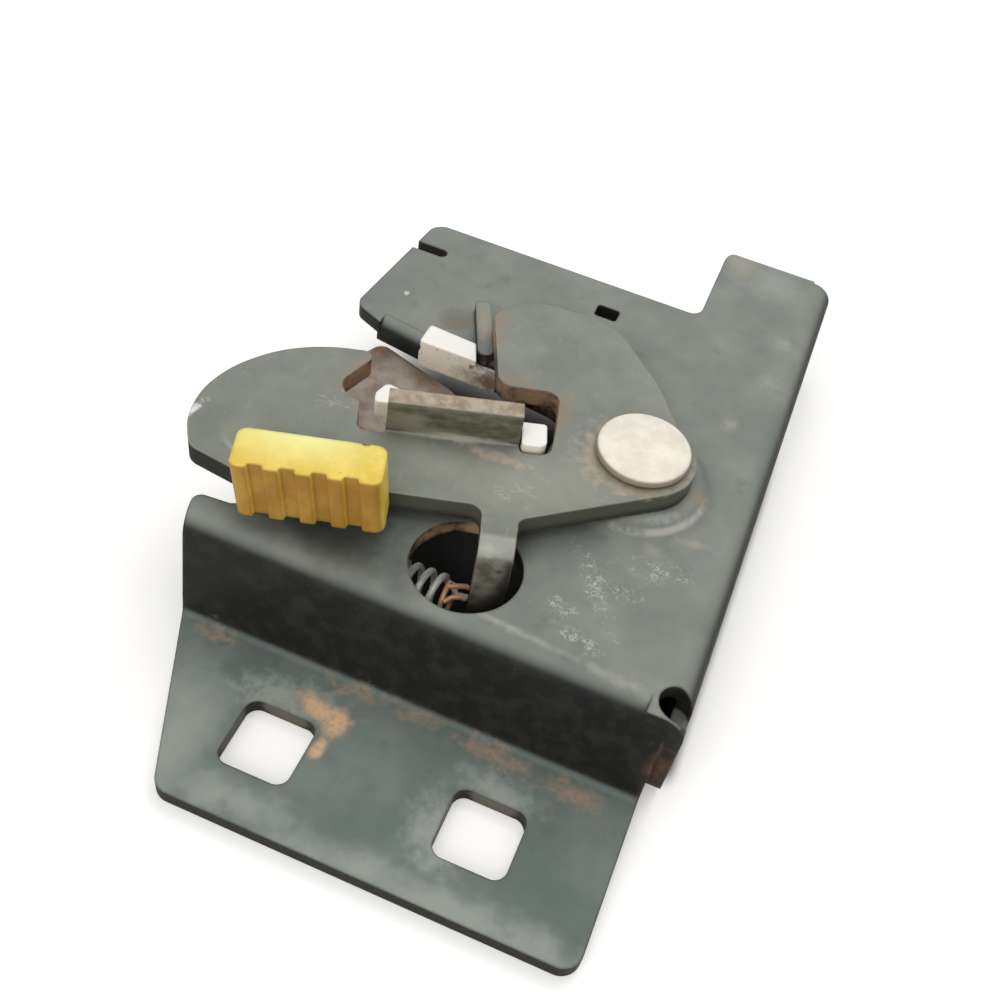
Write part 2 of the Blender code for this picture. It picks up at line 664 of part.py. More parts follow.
def lever_outline():
    """Edge of the lever's flat part, from the nose round the hook, slot, lobe and eye."""
    def slot(s, n):
        return turned_frame(UPSTAND_ANGLE, s, n)

    def edge(s, n):
        return turned_frame(ARM_ANGLE, s, n)

    face = UPSTAND_FACE_N + 0.2 * MM
    lug_left = GRIP_MID_S - LUG_WIDTH / 2
    neck_right = TAIL_LEFT_S + TAIL_WIDTH
    neck_end = TAIL_FACE_N + LEVER_THICK + TAIL_BEND_RADIUS
    eye = arc(8.7 * MM, math.radians(62), math.radians(-52), 7)
    return rounded([
        (-61.2 * MM, -31.2 * MM, 3 * MM),
        (-64.4 * MM, -26.4 * MM, 5 * MM),
        (-65.6 * MM, -20.2 * MM, 8 * MM),
        (-64.2 * MM, -13.6 * MM, 8 * MM),
        (-59.8 * MM, -6.6 * MM, 8 * MM),
        (-53.4 * MM, -1.9 * MM, 9 * MM),
        (-45.2 * MM, 0.9 * MM, 1.4 * MM),
        (-48.0 * MM, -8.2 * MM, 3.0 * MM),
        (-45.6 * MM, -10.6 * MM, 0.8 * MM),
        (-43.4 * MM, -10.6 * MM, 0.8 * MM),
        (*slot(UPSTAND_LEFT - 4.4 * MM, UPSTAND_FACE_N - 0.6 * MM), 1.6 * MM),
        (*slot(UPSTAND_LEFT - 0.4 * MM, UPSTAND_FACE_N - 0.6 * MM), 0.5 * MM),
        (*slot(UPSTAND_LEFT + 2 * STEP, face), 0),
        (*slot(UPSTAND_RIGHT - 2 * STEP, face), 0),
        (*slot(UPSTAND_RIGHT + 0.3 * MM, UPSTAND_FACE_N - 1.4 * MM), 0.6 * MM),
        (*slot(UPSTAND_RIGHT + PAD_EAR_LENGTH + 0.7 * MM, UPSTAND_FACE_N - 1.4 * MM), 2.0 * MM),
        (-13.9 * MM, -1.5 * MM, 3 * MM),
        (-16.0 * MM, 6.6 * MM, 2.2 * MM),
        (-25.6 * MM, 3.6 * MM, 2.6 * MM),
        (-32.9 * MM, 20.0 * MM, 4 * MM),
        (-28.0 * MM, 26.2 * MM, 8 * MM),
        (-14.0 * MM, 28.0 * MM, 12 * MM),
        (-2.2 * MM, 16.6 * MM, 12 * MM),
    ] + [(x, y, 0) for x, y in eye] + [
        (*edge(neck_right, ARM_EDGE_N - 1.8 * MM), 3 * MM),
        (*edge(neck_right, neck_end), 0),
        (*edge(TAIL_LEFT_S, neck_end), 0),
        (*edge(TAIL_LEFT_S, ARM_EDGE_N), 2.4 * MM),
        (*edge(lug_left - 0.4 * MM, ARM_EDGE_N), 0),
        (*edge(lug_left - 0.8 * MM, ARM_EDGE_N + 0.9 * MM), 0.5 * MM),
        (*edge(lug_left - 1.8 * MM, ARM_EDGE_N - 0.3 * MM), 0.6 * MM),
    ])


def lever_upstand():
    """Edge of the slot turned up, square to the plate."""
    mid = UPSTAND_THICK / 2
    middle = LEVER_TOP - LEVER_THICK / 2
    n = UPSTAND_FACE_N + mid
    path = [(n - 5 * MM, middle), (n, middle), (n, LEVER_TOP + UPSTAND_HEIGHT)]
    section = bent_section(path, [UPSTAND_BEND_RADIUS + mid], UPSTAND_THICK)
    return swept(section, UPSTAND_LEFT, UPSTAND_RIGHT, UPSTAND_ANGLE)


def lug_face_n():
    return GRIP_BACK_N - GRIP_DEPTH + GRIP_WALL


def lever_lug():
    """Lug turned up from the lower edge, inside the finger grip."""
    thickness = LEVER_THICK - 2 * STEP
    middle = LEVER_TOP - LEVER_THICK / 2
    n = lug_face_n() + LEVER_THICK / 2
    path = [(n + 8 * MM, middle), (n, middle), (n, LEVER_TOP + LUG_HEIGHT)]
    section = bent_section(path, [BEND_RADIUS + thickness / 2], thickness)
    start = GRIP_MID_S - LUG_WIDTH / 2
    return swept(section, start, start + LUG_WIDTH, ARM_ANGLE)


def tail_hole():
    """Middle of the tail's hole, at half of its thickness."""
    return turned_frame(ARM_ANGLE, TAIL_HOLE_S, TAIL_FACE_N + LEVER_THICK / 2)


def lever_tail():
    """Tail turned down through the window, with the hole for the spring's hook."""
    thickness = LEVER_THICK - 2 * STEP
    middle = LEVER_TOP - LEVER_THICK / 2
    n = TAIL_FACE_N + LEVER_THICK / 2
    path = [(n + 6 * MM, middle), (n, middle), (n, TAIL_END)]
    section = bent_section(path, [TAIL_BEND_RADIUS + thickness / 2], thickness)
    tail = swept(section, TAIL_LEFT_S + STEP, TAIL_LEFT_S + TAIL_WIDTH - STEP, ARM_ANGLE)
    drill = stand_up(plate_shape([circle(0, SAFETY_Z, WIRE_HOLE_RADIUS, 16)], -LEVER_THICK, LEVER_THICK))
    bake(drill, Matrix.Translation((*tail_hole(), 0)) @ Matrix.Rotation(ARM_ANGLE, 4, "Z"))
    return cut(tail, drill)


def safety_lever():
    outlines = [lever_outline(), circle(0, 0, BORE_RADIUS)]
    lever = soften(plate_shape(outlines, LEVER_BOTTOM, LEVER_TOP), LEVER_EDGE_RADIUS)
    for piece in (lever_upstand(), lever_lug(), lever_tail()):
        lever = join(lever, piece)
    return lever


def finger_grip():
    """Moulded grip with upright grooves, pushed over the lever's lug."""
    left = GRIP_MID_S - GRIP_LENGTH / 2
    right = GRIP_MID_S + GRIP_LENGTH / 2
    front = GRIP_BACK_N - GRIP_DEPTH
    bottom = LEVER_TOP - GRIP_DROP
    corners = [(left, front, GRIP_CORNER)]
    first = GRIP_MID_S - (GROOVE_COUNT - 1) * GROOVE_PITCH / 2 - 0.4 * MM
    for k in range(GROOVE_COUNT):
        middle = first + k * GROOVE_PITCH
        corners += [(middle - GROOVE_WIDTH / 2, front, 0.2 * MM),
                    (middle - GROOVE_WIDTH / 2 + 0.3 * MM, front + GROOVE_DEPTH, 0.2 * MM),
                    (middle + GROOVE_WIDTH / 2 - 0.3 * MM, front + GROOVE_DEPTH, 0.2 * MM),
                    (middle + GROOVE_WIDTH / 2, front, 0.2 * MM)]
    corners += [(right, front, GRIP_CORNER), (right, GRIP_BACK_N, GRIP_CORNER), (left, GRIP_BACK_N, GRIP_CORNER)]
    grip = soften(plate_shape([rounded(corners)], bottom, bottom + GRIP_HEIGHT), 0.4 * MM, both=True)
    lean = Matrix(((1, 0, -GRIP_LEAN, GRIP_LEAN * (bottom + GRIP_HEIGHT)), (0, 1, 0, 0), (0, 0, 1, 0), (0, 0, 0, 1)))
    bake(grip, Matrix.Rotation(ARM_ANGLE, 4, "Z") @ lean)
    lug_half = LUG_WIDTH / 2 + CLEAR
    front_wall = lug_face_n() - CLEAR
    back_wall = front_wall + LEVER_THICK + 2 * CLEAR
    low = bottom - SHEET
    pocket = swept([(front_wall, low), (GRIP_BACK_N + SHEET, low), (GRIP_BACK_N + SHEET, LEVER_TOP + BEND_RADIUS),
                    (back_wall, LEVER_TOP + BEND_RADIUS), (back_wall, LEVER_TOP + LUG_HEIGHT + CLEAR),
                    (front_wall, LEVER_TOP + LUG_HEIGHT + CLEAR)],
                   GRIP_MID_S - lug_half, GRIP_MID_S + lug_half, ARM_ANGLE)
    step = box((left - SHEET, ARM_EDGE_N - CLEAR, low),
               (right + SHEET, GRIP_BACK_N + 2 * SHEET, LEVER_TOP + CLEAR), ARM_ANGLE)
    return cut(cut(grip, pocket), step)


def guide_pad():
    """White pad that lines the upstand and wraps both of its ends."""
    back = UPSTAND_FACE_N + UPSTAND_THICK + CLEAR
    front = back + PAD_THICK
    top = LEVER_TOP + PAD_TOP
    body_top = LEVER_TOP - CLEAR
    left = UPSTAND_LEFT
    body = plate_shape([rounded([
        (left - 0.2 * MM, back, 0), (UPSTAND_RIGHT + 2 * MM, back, 0),
        (UPSTAND_RIGHT + 2 * MM, front, 0.8 * MM), (left + 5 * MM, front, 2 * MM),
        (left + 1.6 * MM, front + 2.4 * MM, 0.8 * MM), (left - 0.2 * MM, front + 2.6 * MM, 0)])], PAD_BOTTOM, body_top)
    lip = plate_shape([rounded([
        (left - 2.2 * MM, back + 0.6 * MM, 0.6 * MM), (left + 1.4 * MM, back + 0.6 * MM, 0),
        (left + 1.4 * MM, front + 2.0 * MM, 0), (left - 0.6 * MM, front + 3.0 * MM, 1.0 * MM),
        (left - 2.2 * MM, back + 2.6 * MM, 1.2 * MM)])], body_top - PAD_LIP_ROOT, top)
    ear_left = UPSTAND_RIGHT + CLEAR
    ear_right = UPSTAND_RIGHT + PAD_EAR_LENGTH
    ear_front = UPSTAND_FACE_N - PAD_EAR_REACH
    ear = plate_shape([rounded([
        (ear_left, ear_front, 0.8 * MM), (ear_right, ear_front, 1.4 * MM),
        (ear_right, back + 0.7 * MM, 0.6 * MM), (ear_left, back + 0.7 * MM, 0)])],
        LEVER_BOTTOM + CLEAR, LEVER_TOP + PAD_EAR_TOP)
    pad = join(join(body, lip), ear)
    return bake(pad, Matrix.Rotation(UPSTAND_ANGLE, 4, "Z"))


def jaw_block():
    """White block clipped over the upper jaw, with a low tongue that runs on under the lever."""
    right = BLOCK_LEFT + BLOCK_WIDTH
    cap_right = BLOCK_LEFT + BLOCK_CAP_WIDTH
    back = BLOCK_FRONT_Y + BLOCK_WALL
    bottom = -JAW_DROP
    wall = box((BLOCK_LEFT, BLOCK_FRONT_Y, bottom), (right, back, -RIB_ROOT - CLEAR))
    cap = plate_shape([rounded([
        (BLOCK_LEFT, BLOCK_FRONT_Y, 0.5 * MM), (cap_right, BLOCK_FRONT_Y, 0),
        (cap_right - 1.7 * MM, BLOCK_FRONT_Y + BLOCK_CAP_REACH - 0.6 * MM, 0.5 * MM),
        (BLOCK_LEFT, BLOCK_FRONT_Y + BLOCK_CAP_REACH, 0.5 * MM)])], CLEAR, BLOCK_PROUD)
    soften(cap, 0.3 * MM)
    leaf = box((BLOCK_LEFT, back - 0.5 * MM, -SHEET - CLEAR - BLOCK_LEAF),
               (right, BLOCK_FRONT_Y + BLOCK_CAP_REACH, -SHEET - CLEAR))
    riser = box((BLOCK_LEFT + 0.4 * MM, BLOCK_FRONT_Y + 0.02 * MM, -2 * RIB_ROOT - CLEAR),
                (cap_right - 1.0 * MM, back - 0.1 * MM, 0.8 * MM))
    return join(join(join(wall, riser), cap), leaf)


# Primary catch

def catch_outline():
    hold = arc(CATCH_HOLD_RADIUS, math.pi + math.asin(-CATCH_ARM_TOP / CATCH_HOLD_RADIUS), math.radians(173), 5)
    hub = arc(CATCH_HUB_RADIUS, math.radians(-105), math.radians(-50), 4)
    arm_root = math.pi + math.asin(-CATCH_ARM_TOP / CATCH_HUB_RADIUS)
    hub_back = arc(CATCH_HUB_RADIUS, math.radians(35), arm_root, 10)
    return rounded([(x, y, 0) for x, y in hold] + [
        (-27.5 * MM, 4.8 * MM, 1.5 * MM),
        (-35.6 * MM, 9.0 * MM, 1.2 * MM),
        (-50.4 * MM, 13.8 * MM, 2 * MM),
        (-55.6 * MM, 2.0 * MM, 4 * MM),
        (-54.0 * MM, -6.0 * MM, 5 * MM),
        (-43.0 * MM, -14.0 * MM, 7 * MM),
        (-29.0 * MM, -11.6 * MM, 3 * MM),
    ] + [(x, y, 0) for x, y in hub] + [
        (CATCH_ARM_X + 3.0 * MM, -3.6 * MM, 2.4 * MM),
        (CATCH_ARM_X + 3.0 * MM, 3.6 * MM, 2.4 * MM),
    ] + [(x, y, 0) for x, y in hub_back])


def catch_lever():
    holes = [circle(0, 0, BORE_RADIUS), circle(CATCH_ARM_X, 0, CABLE_HOLE_RADIUS, 20)]
    return plate_shape([catch_outline()] + holes, CATCH_BOTTOM, CATCH_TOP)


def catch_spring():
    """Torsion spring on the spool: one leg hooks under the catch's arm, the other presses the wall."""
    start_angle = math.radians(250)
    top = CATCH_BOTTOM - CLEAR - CATCH_WIRE_RADIUS - 0.2 * MM
    arm_y = -12.0 * MM
    steps = int(CATCH_TURNS * 16)
    coil = []
    for k in range(steps + 1):
        angle = start_angle + 2 * math.pi * CATCH_TURNS * k / steps
        z = top - CATCH_COIL_PITCH * CATCH_TURNS * k / steps
        coil.append((CATCH_COIL_RADIUS * math.cos(angle), CATCH_COIL_RADIUS * math.sin(angle), z))
    reach = (-20.0 * MM, arm_y)
    hook = [(*reach, CATCH_TOP - 1.0 * MM), (*reach, CATCH_BOTTOM - 0.4 * MM), (reach[0] + 0.8 * MM, reach[1] + 0.1 * MM, top)]
    last = coil[-1]
    leg = [(WALL_INNER_X - CATCH_WIRE_RADIUS - CLEAR, last[1] + 6 * MM, last[2])]
    return wire(hook + coil + leg, CATCH_WIRE_RADIUS)


def wire_hook(hole, thickness, coil_x, angle=0.0):
    """Wire from a coil's end along the far face of a hole's wall, through it and out at the near face."""
    side = math.copysign(1 * MM, coil_x - hole[0])
    bend = SAFETY_WIRE_RADIUS + CLEAR
    far, near = thickness / 2, -thickness / 2
    turn = Matrix.Rotation(angle, 2)
    passes = [(4 * side, far + 1.6 * bend), (side, far + 1.2 * bend), (0, far + 0.4 * bend),
              (0, near - 0.6 * bend), (-0.8 * side, near - 1.4 * bend)]
    hook = [(coil_x - side, SAFETY_Y + SAFETY_COIL_RADIUS - 0.2 * MM, SAFETY_Z)]
    for place in passes:
        hook.append((*(Vector(hole) + turn @ Vector(place)), SAFETY_Z))
    return hook


def safety_spring():
    """Extension spring between the lever's tail and the anchor ear, with a hook at each end."""
    length = SAFETY_TURNS * SAFETY_PITCH
    steps = SAFETY_TURNS * 12
    coil = []
    for k in range(steps + 1):
        angle = 2 * math.pi * SAFETY_TURNS * k / steps
        coil.append((SAFETY_START_X - length * k / steps,
                     SAFETY_Y + SAFETY_COIL_RADIUS * math.cos(angle),
                     SAFETY_Z + SAFETY_COIL_RADIUS * math.sin(angle)))
    tail_hook = wire_hook(tail_hole(), LEVER_THICK, SAFETY_START_X, ARM_ANGLE)
    ear_hook = wire_hook((ANCHOR_X, ANCHOR_Y - SHEET / 2), SHEET, SAFETY_START_X - length)
    return wire(tail_hook[::-1] + coil + ear_hook, SAFETY_WIRE_RADIUS)


# Rivet stack

def pivot_rivet():
    """Large-headed rivet, with its tail formed over the back washer."""
    head_bottom = LEVER_TOP + CLEAR
    head_top = head_bottom + RIVET_HEAD_THICK
    tail_top = WASHER_BOTTOM - CLEAR
    tail_bottom = tail_top - RIVET_TAIL_THICK
    rim = 0.5 * MM
    return turned([
        (0, head_top), (RIVET_HEAD_RADIUS - rim, head_top), (RIVET_HEAD_RADIUS - 0.15 * MM, head_top - 0.2 * MM),
        (RIVET_HEAD_RADIUS, head_top - rim), (RIVET_HEAD_RADIUS, head_bottom + 0.3 * MM),
        (RIVET_HEAD_RADIUS - 0.3 * MM, head_bottom), (RIVET_SHANK_RADIUS, head_bottom),
        (RIVET_SHANK_RADIUS, tail_top), (RIVET_TAIL_RADIUS, tail_top),
        (RIVET_TAIL_RADIUS, tail_top - 0.6 * RIVET_TAIL_THICK), (RIVET_TAIL_RADIUS - 1.2 * MM, tail_bottom),
        (0, tail_bottom)])


def ring(outer, top, bottom):
    """Plain ring on the rivet's shank."""
    return turned([(BORE_RADIUS, top), (outer, top), (outer, bottom), (BORE_RADIUS, bottom)])


def spring_spool():
    """Flanged bush that carries the catch's torsion spring."""
    top = CATCH_BOTTOM - CLEAR
    return ring(SPOOL_RADIUS, top, SPOOL_BOTTOM)


def main():
    clear_scene()
    collection = bpy.data.collections.new("bonnet_latch")
    bpy.context.scene.collection.children.link(collection)
    paint = surface("dark_paint", (0.19, 0.21, 0.18), 0.42, 0.0)
    lever_paint = surface("lever_paint", (0.21, 0.22, 0.185), 0.4, 0.0)
    zinc = surface("zinc", (0.66, 0.62, 0.54), 0.5, 0.4)
    bare_steel = surface("bare_steel", (0.30, 0.25, 0.21), 0.5, 0.8)
    spring_steel = surface("spring_steel", (0.70, 0.70, 0.66), 0.3, 1.0)
    yellow = surface("yellow_moulding", (0.86, 0.66, 0.09), 0.45, 0.0)
    white = surface("white_moulding", (0.86, 0.84, 0.78), 0.5, 0.0)
    pieces = [
        ("base_plate", base_plate, paint),
        ("safety_lever", safety_lever, lever_paint),
        ("finger_grip", finger_grip, yellow),
        ("guide_pad", guide_pad, white),
        ("jaw_block", jaw_block, white),
        ("pivot_rivet", pivot_rivet, zinc),
        ("catch_lever", catch_lever, bare_steel),
        ("spacer_ring", lambda: ring(SPACER_RADIUS, BOSS_UNDERSIDE - CLEAR, CATCH_TOP + CLEAR), zinc),
        ("spring_spool", spring_spool, white),
        ("back_washer", lambda: ring(WASHER_RADIUS, SPOOL_BOTTOM - CLEAR, WASHER_BOTTOM), zinc),
        ("catch_spring", catch_spring, spring_steel),
        ("safety_spring", safety_spring, spring_steel),
    ]
    for name, make, material in pieces:
        finish(make(), name, material, collection)


main()
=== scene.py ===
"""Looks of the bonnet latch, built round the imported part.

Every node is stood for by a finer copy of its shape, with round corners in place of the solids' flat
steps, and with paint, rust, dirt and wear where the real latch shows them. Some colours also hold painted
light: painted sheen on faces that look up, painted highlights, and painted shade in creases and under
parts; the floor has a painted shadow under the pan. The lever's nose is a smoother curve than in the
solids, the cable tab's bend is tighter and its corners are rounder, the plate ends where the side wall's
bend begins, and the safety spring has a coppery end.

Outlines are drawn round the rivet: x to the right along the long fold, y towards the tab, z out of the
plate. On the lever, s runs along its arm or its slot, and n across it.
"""

import math

import bmesh
import bpy
from mathutils import Matrix, Vector


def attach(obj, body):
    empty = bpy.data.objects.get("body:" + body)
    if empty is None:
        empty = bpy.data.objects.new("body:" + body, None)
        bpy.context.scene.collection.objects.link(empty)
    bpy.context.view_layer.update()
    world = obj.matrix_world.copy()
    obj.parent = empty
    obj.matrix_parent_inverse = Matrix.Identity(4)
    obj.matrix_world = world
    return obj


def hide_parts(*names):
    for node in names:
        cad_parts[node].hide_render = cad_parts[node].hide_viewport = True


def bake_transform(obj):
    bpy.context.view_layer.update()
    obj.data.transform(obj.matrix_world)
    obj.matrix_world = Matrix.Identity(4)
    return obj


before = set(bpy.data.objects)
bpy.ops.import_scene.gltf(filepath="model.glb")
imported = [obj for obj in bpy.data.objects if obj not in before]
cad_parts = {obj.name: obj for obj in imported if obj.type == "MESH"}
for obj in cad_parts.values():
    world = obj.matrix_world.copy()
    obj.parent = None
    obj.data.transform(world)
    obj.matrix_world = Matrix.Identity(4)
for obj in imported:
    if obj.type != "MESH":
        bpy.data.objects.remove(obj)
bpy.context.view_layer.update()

MM = 0.001
CLEAR = 0.3 * MM
ARC_STEP = math.radians(4)
GRID = 0.001 * MM
STEP = 0.05 * MM
ARC_SHARE = 0.49
ROUND_SEGMENTS = 120
RELIEF_SEGMENTS = 24
CABLE_HOLE_SEGMENTS = 20
WIRE_HOLE_SEGMENTS = 16
DIMPLE_SEGMENTS = 48
SHOULDER_STEPS = 12
WELD = 1e-6
RIM_ANGLE = 0.5
SHARP_ANGLE = math.radians(35)

# Pressed pan
SHEET = 2.6 * MM
PAN_DEPTH = 18.0 * MM
FOLD_RADIUS = 4.0 * MM
PLATE_RIGHT = 20.4 * MM
PLATE_TOP = 45.0 * MM
PLATE_LEFT = -55.6 * MM
PLATE_CORNER = 3.0 * MM
FOLD_Y = -37.1 * MM
WEB_LEAN = 3.2 * MM
JAW_LEFT = -51.2 * MM
JAW_Y = 13.9 * MM
JAW_SLOPE = -0.16
JAW_DROP = 4.0 * MM
JAW_BEND_RADIUS = 0.4 * MM
LOWER_JAW_LEFT = -58.6 * MM
LOWER_JAW_Y = -34.3 * MM

# Cable tab at the far corner
TAB_LEFT = -1.2 * MM
TAB_TOP = 69.0 * MM
WALL_END_Y = 66.4 * MM
TAB_FOLD_DEPTH = 11.0 * MM
TAB_BEND_RADIUS = 1.6 * MM
CABLE_SLOT_WIDTH = 5.0 * MM
CABLE_SLOT_DEPTH = 6.0 * MM

# Fixing flange with its two square holes
FLANGE_EDGE_Y = -70.5 * MM
FLANGE_RIGHT = 18.0 * MM
FLANGE_LEFT = -57.0 * MM
FLANGE_TAPER = 12.2 * MM
FLANGE_CORNER = 3.0 * MM
SQUARE_HOLE = 11.1 * MM
SQUARE_HOLE_CORNER = 2.0 * MM
SQUARE_HOLE_SPACING = 33.2 * MM
SQUARE_HOLE_MID_X = -17.6 * MM
SQUARE_HOLE_Y = -57.5 * MM

# Striker channel through the plate
SEAT_X = -14.5 * MM
SEAT_TOP = 8.6 * MM
SEAT_BOTTOM = -8.0 * MM
SEAT_CORNER = 2.2 * MM
SEAT_FLANGE_DEPTH = 8.0 * MM
SEAT_FLANGE_TOP = 4.1 * MM

# Small features of the plate
WINDOW_X = -17.3 * MM
WINDOW_Y = -28.5 * MM
WINDOW_RADIUS = 8.5 * MM
BOSS_RADIUS = 13.8 * MM
BOSS_HEIGHT = 2.1 * MM
BOSS_SHOULDER = 4.6 * MM
BOSS_WALL = 1.4 * MM
RELIEF_RADIUS = 2.8 * MM
DIMPLE_X = -39.9 * MM
DIMPLE_Y = 21.4 * MM
DIMPLE_RADIUS = 3.3 * MM
DIMPLE_DEPTH = 1.0 * MM
RIB_HEIGHT = 2.0 * MM
RIB_ROOT = 0.4 * MM
RIB_EDGE = 0.7 * MM
RIB_WIDTH = 2.8 * MM
RIB_LENGTH = 14.0 * MM
RIB_END_X = -31.2 * MM
RIB_END_Y = 13.2 * MM
RIB_ANGLE = math.radians(114.0)
TOP_SLOT_LENGTH = 6.0 * MM
TOP_SLOT_WIDTH = 2.2 * MM
TOP_SLOT_Y = 37.2 * MM
TOP_HOLE_X = -16.7 * MM
TOP_HOLE_Y = 36.9 * MM
TOP_HOLE_LENGTH = 4.2 * MM
TOP_HOLE_WIDTH = 3.2 * MM
ANCHOR_X = -48.5 * MM
ANCHOR_Y = -25.2 * MM
ANCHOR_WIDTH = 5.0 * MM
ANCHOR_DROP = 15.5 * MM
WIRE_HOLE_RADIUS = 1.2 * MM

# Rivet stack on the pivot
RIVET_HEAD_RADIUS = 7.5 * MM
RIVET_HEAD_THICK = 1.5 * MM
RIVET_SHANK_RADIUS = 4.5 * MM
RIVET_TAIL_RADIUS = 7.2 * MM
RIVET_TAIL_THICK = 1.7 * MM
SPACER_RADIUS = 7.5 * MM
SPOOL_RADIUS = 5.6 * MM
SPOOL_LENGTH = 6.4 * MM
WASHER_RADIUS = 9.0 * MM
WASHER_THICK = 1.5 * MM

# Safety lever
LEVER_THICK = 3.5 * MM
LEVER_EDGE_RADIUS = 0.6 * MM
ARM_ANGLE = math.radians(17.6)
ARM_EDGE_N = -15.0 * MM
TAIL_LEFT_S = -23.9 * MM
TAIL_WIDTH = 5.4 * MM
TAIL_FACE_N = -23.0 * MM
TAIL_END = -15.2 * MM
TAIL_BEND_RADIUS = 0.3 * MM
TAIL_HOLE_S = TAIL_LEFT_S + 2.3 * MM
BEND_RADIUS = 1.2 * MM
UPSTAND_ANGLE = math.radians(19.7)
UPSTAND_THICK = 3.0 * MM
UPSTAND_BEND_RADIUS = 0.5 * MM
UPSTAND_LEFT = -39.9 * MM
UPSTAND_RIGHT = -19.4 * MM
UPSTAND_FACE_N = -1.2 * MM
UPSTAND_HEIGHT = 6.1 * MM

# Finger grip, moulded over the lug on the lever's edge
GRIP_LENGTH = 21.2 * MM
GRIP_MID_S = -49.0 * MM
GRIP_BACK_N = -13.7 * MM
GRIP_DEPTH = 7.6 * MM
GRIP_DROP = 2.0 * MM
GRIP_HEIGHT = 10.0 * MM
GRIP_CORNER = 1.6 * MM
GRIP_WALL = 2.0 * MM
GROOVE_COUNT = 4
GROOVE_PITCH = 4.45 * MM
GROOVE_WIDTH = 2.5 * MM
GROOVE_DEPTH = 0.8 * MM
GRIP_LEAN = 0.09
LUG_WIDTH = 16.4 * MM
LUG_HEIGHT = 5.6 * MM

# Guide pad behind the upstand
PAD_THICK = 2.0 * MM
PAD_TOP = 2.0 * MM
PAD_BOTTOM = 0.8 * MM
PAD_LIP_ROOT = 1.0 * MM
PAD_EAR_LENGTH = 4.2 * MM
PAD_EAR_TOP = 1.2 * MM
PAD_EAR_REACH = 1.0 * MM

# Jaw block, clipped over the upper jaw
BLOCK_LEFT = -42.6 * MM
BLOCK_WIDTH = 14.4 * MM
BLOCK_CAP_WIDTH = 10.4 * MM
BLOCK_FRONT_Y = 11.3 * MM
BLOCK_WALL = 2.0 * MM
BLOCK_CAP_REACH = 4.8 * MM
BLOCK_PROUD = 1.5 * MM
BLOCK_LEAF = 1.0 * MM

# Primary catch
CATCH_THICK = 3.0 * MM
CATCH_HUB_RADIUS = 9.0 * MM
CATCH_HOLD_RADIUS = 25.5 * MM
CATCH_ARM_TOP = -6.0 * MM
CATCH_ARM_X = 12.0 * MM
CABLE_HOLE_RADIUS = 1.6 * MM

# Springs
SAFETY_WIRE_RADIUS = 0.55 * MM
SAFETY_COIL_RADIUS = 3.7 * MM
SAFETY_PITCH = 2.2 * MM
SAFETY_TURNS = 9
SAFETY_STEPS = 32 * SAFETY_TURNS
SAFETY_START_X = -21.2 * MM
SAFETY_Y = -27.0 * MM
SAFETY_Z = -12.4 * MM
CATCH_WIRE_RADIUS = 0.8 * MM
CATCH_COIL_RADIUS = 7.3 * MM
CATCH_TURNS = 2.5
CATCH_STEPS = int(40 * CATCH_TURNS)
CATCH_COIL_PITCH = 1.75 * MM
CATCH_COIL_START = math.radians(250)
CATCH_HOOK_X = -20.0 * MM
CATCH_HOOK_Y = -12.0 * MM
LOOP_WIRE_RADIUS = 0.42 * MM
LOOP_RADIUS = 3.2 * MM
LOOP_TURNS = 0.85
LOOP_STEPS = 36
LOOP_PITCH = 0.8 * MM
LOOP_LEFT = -20.2 * MM
LOOP_START = math.radians(54)

# Heights that follow from the stack
LEVER_BOTTOM = BOSS_HEIGHT + CLEAR
LEVER_TOP = LEVER_BOTTOM + LEVER_THICK
LEVER_MIDDLE = LEVER_TOP - LEVER_THICK / 2
BORE_RADIUS = RIVET_SHANK_RADIUS + CLEAR
BOSS_UNDERSIDE = BOSS_HEIGHT - SHEET
CATCH_TOP = -JAW_DROP - 0.5 * MM
CATCH_BOTTOM = CATCH_TOP - CATCH_THICK
SPOOL_BOTTOM = CATCH_BOTTOM - CLEAR - SPOOL_LENGTH
WASHER_BOTTOM = SPOOL_BOTTOM - CLEAR - WASHER_THICK
FLANGE_TOP = -PAN_DEPTH
FLANGE_BOTTOM = FLANGE_TOP - SHEET
WALL_INNER_X = PLATE_RIGHT - SHEET
PIVOT = Vector((-SQUARE_HOLE_MID_X, -SQUARE_HOLE_Y, -FLANGE_BOTTOM))


# Modelling helpers

def rounded(corners):
    """Outline through corners (x, y, radius), each corner turned into an arc."""
    points = []
    count = len(corners)
    for i, (x, y, radius) in enumerate(corners):
        here = Vector((x, y))
        if radius <= 0:
            points.append((x, y))
            continue
        before = Vector(corners[i - 1][:2]) - here
        after = Vector(corners[(i + 1) % count][:2]) - here
        to_before = before.normalized()
        to_after = after.normalized()
        half = to_before.angle(to_after) / 2
        reach = radius / math.tan(half)
        limit = ARC_SHARE * min(before.length, after.length)
        if reach > limit:
            reach = limit
            radius = reach * math.tan(half)
        centre = here + (to_before + to_after).normalized() * (radius / math.sin(half))
        spoke = here + to_before * reach - centre
        turn = math.copysign(math.pi - 2 * half, spoke.cross(here + to_after * reach - centre))
        steps = max(1, math.ceil(abs(turn) / ARC_STEP))
        for k in range(steps + 1):
            points.append(tuple(centre + Matrix.Rotation(turn * k / steps, 2) @ spoke))
    return points


def circle(x, y, radius, segments=ROUND_SEGMENTS):
    return [(x + radius * math.cos(2 * math.pi * k / segments),
             y + radius * math.sin(2 * math.pi * k / segments)) for k in range(segments)]


def arc(radius, start, end, steps):
    """Points on a circle round the pivot, from one angle to another."""
    angles = [start + (end - start) * k / steps for k in range(steps + 1)]
    return [(radius * math.cos(a), radius * math.sin(a)) for a in angles]


def mm(*points):
    """Points given in millimetres."""
    return [tuple(value * MM for value in point) for point in points]


def sharp(points):
    """Corners without arcs, for the middle of a rounded outline."""
    return [(x, y, 0) for x, y in points]


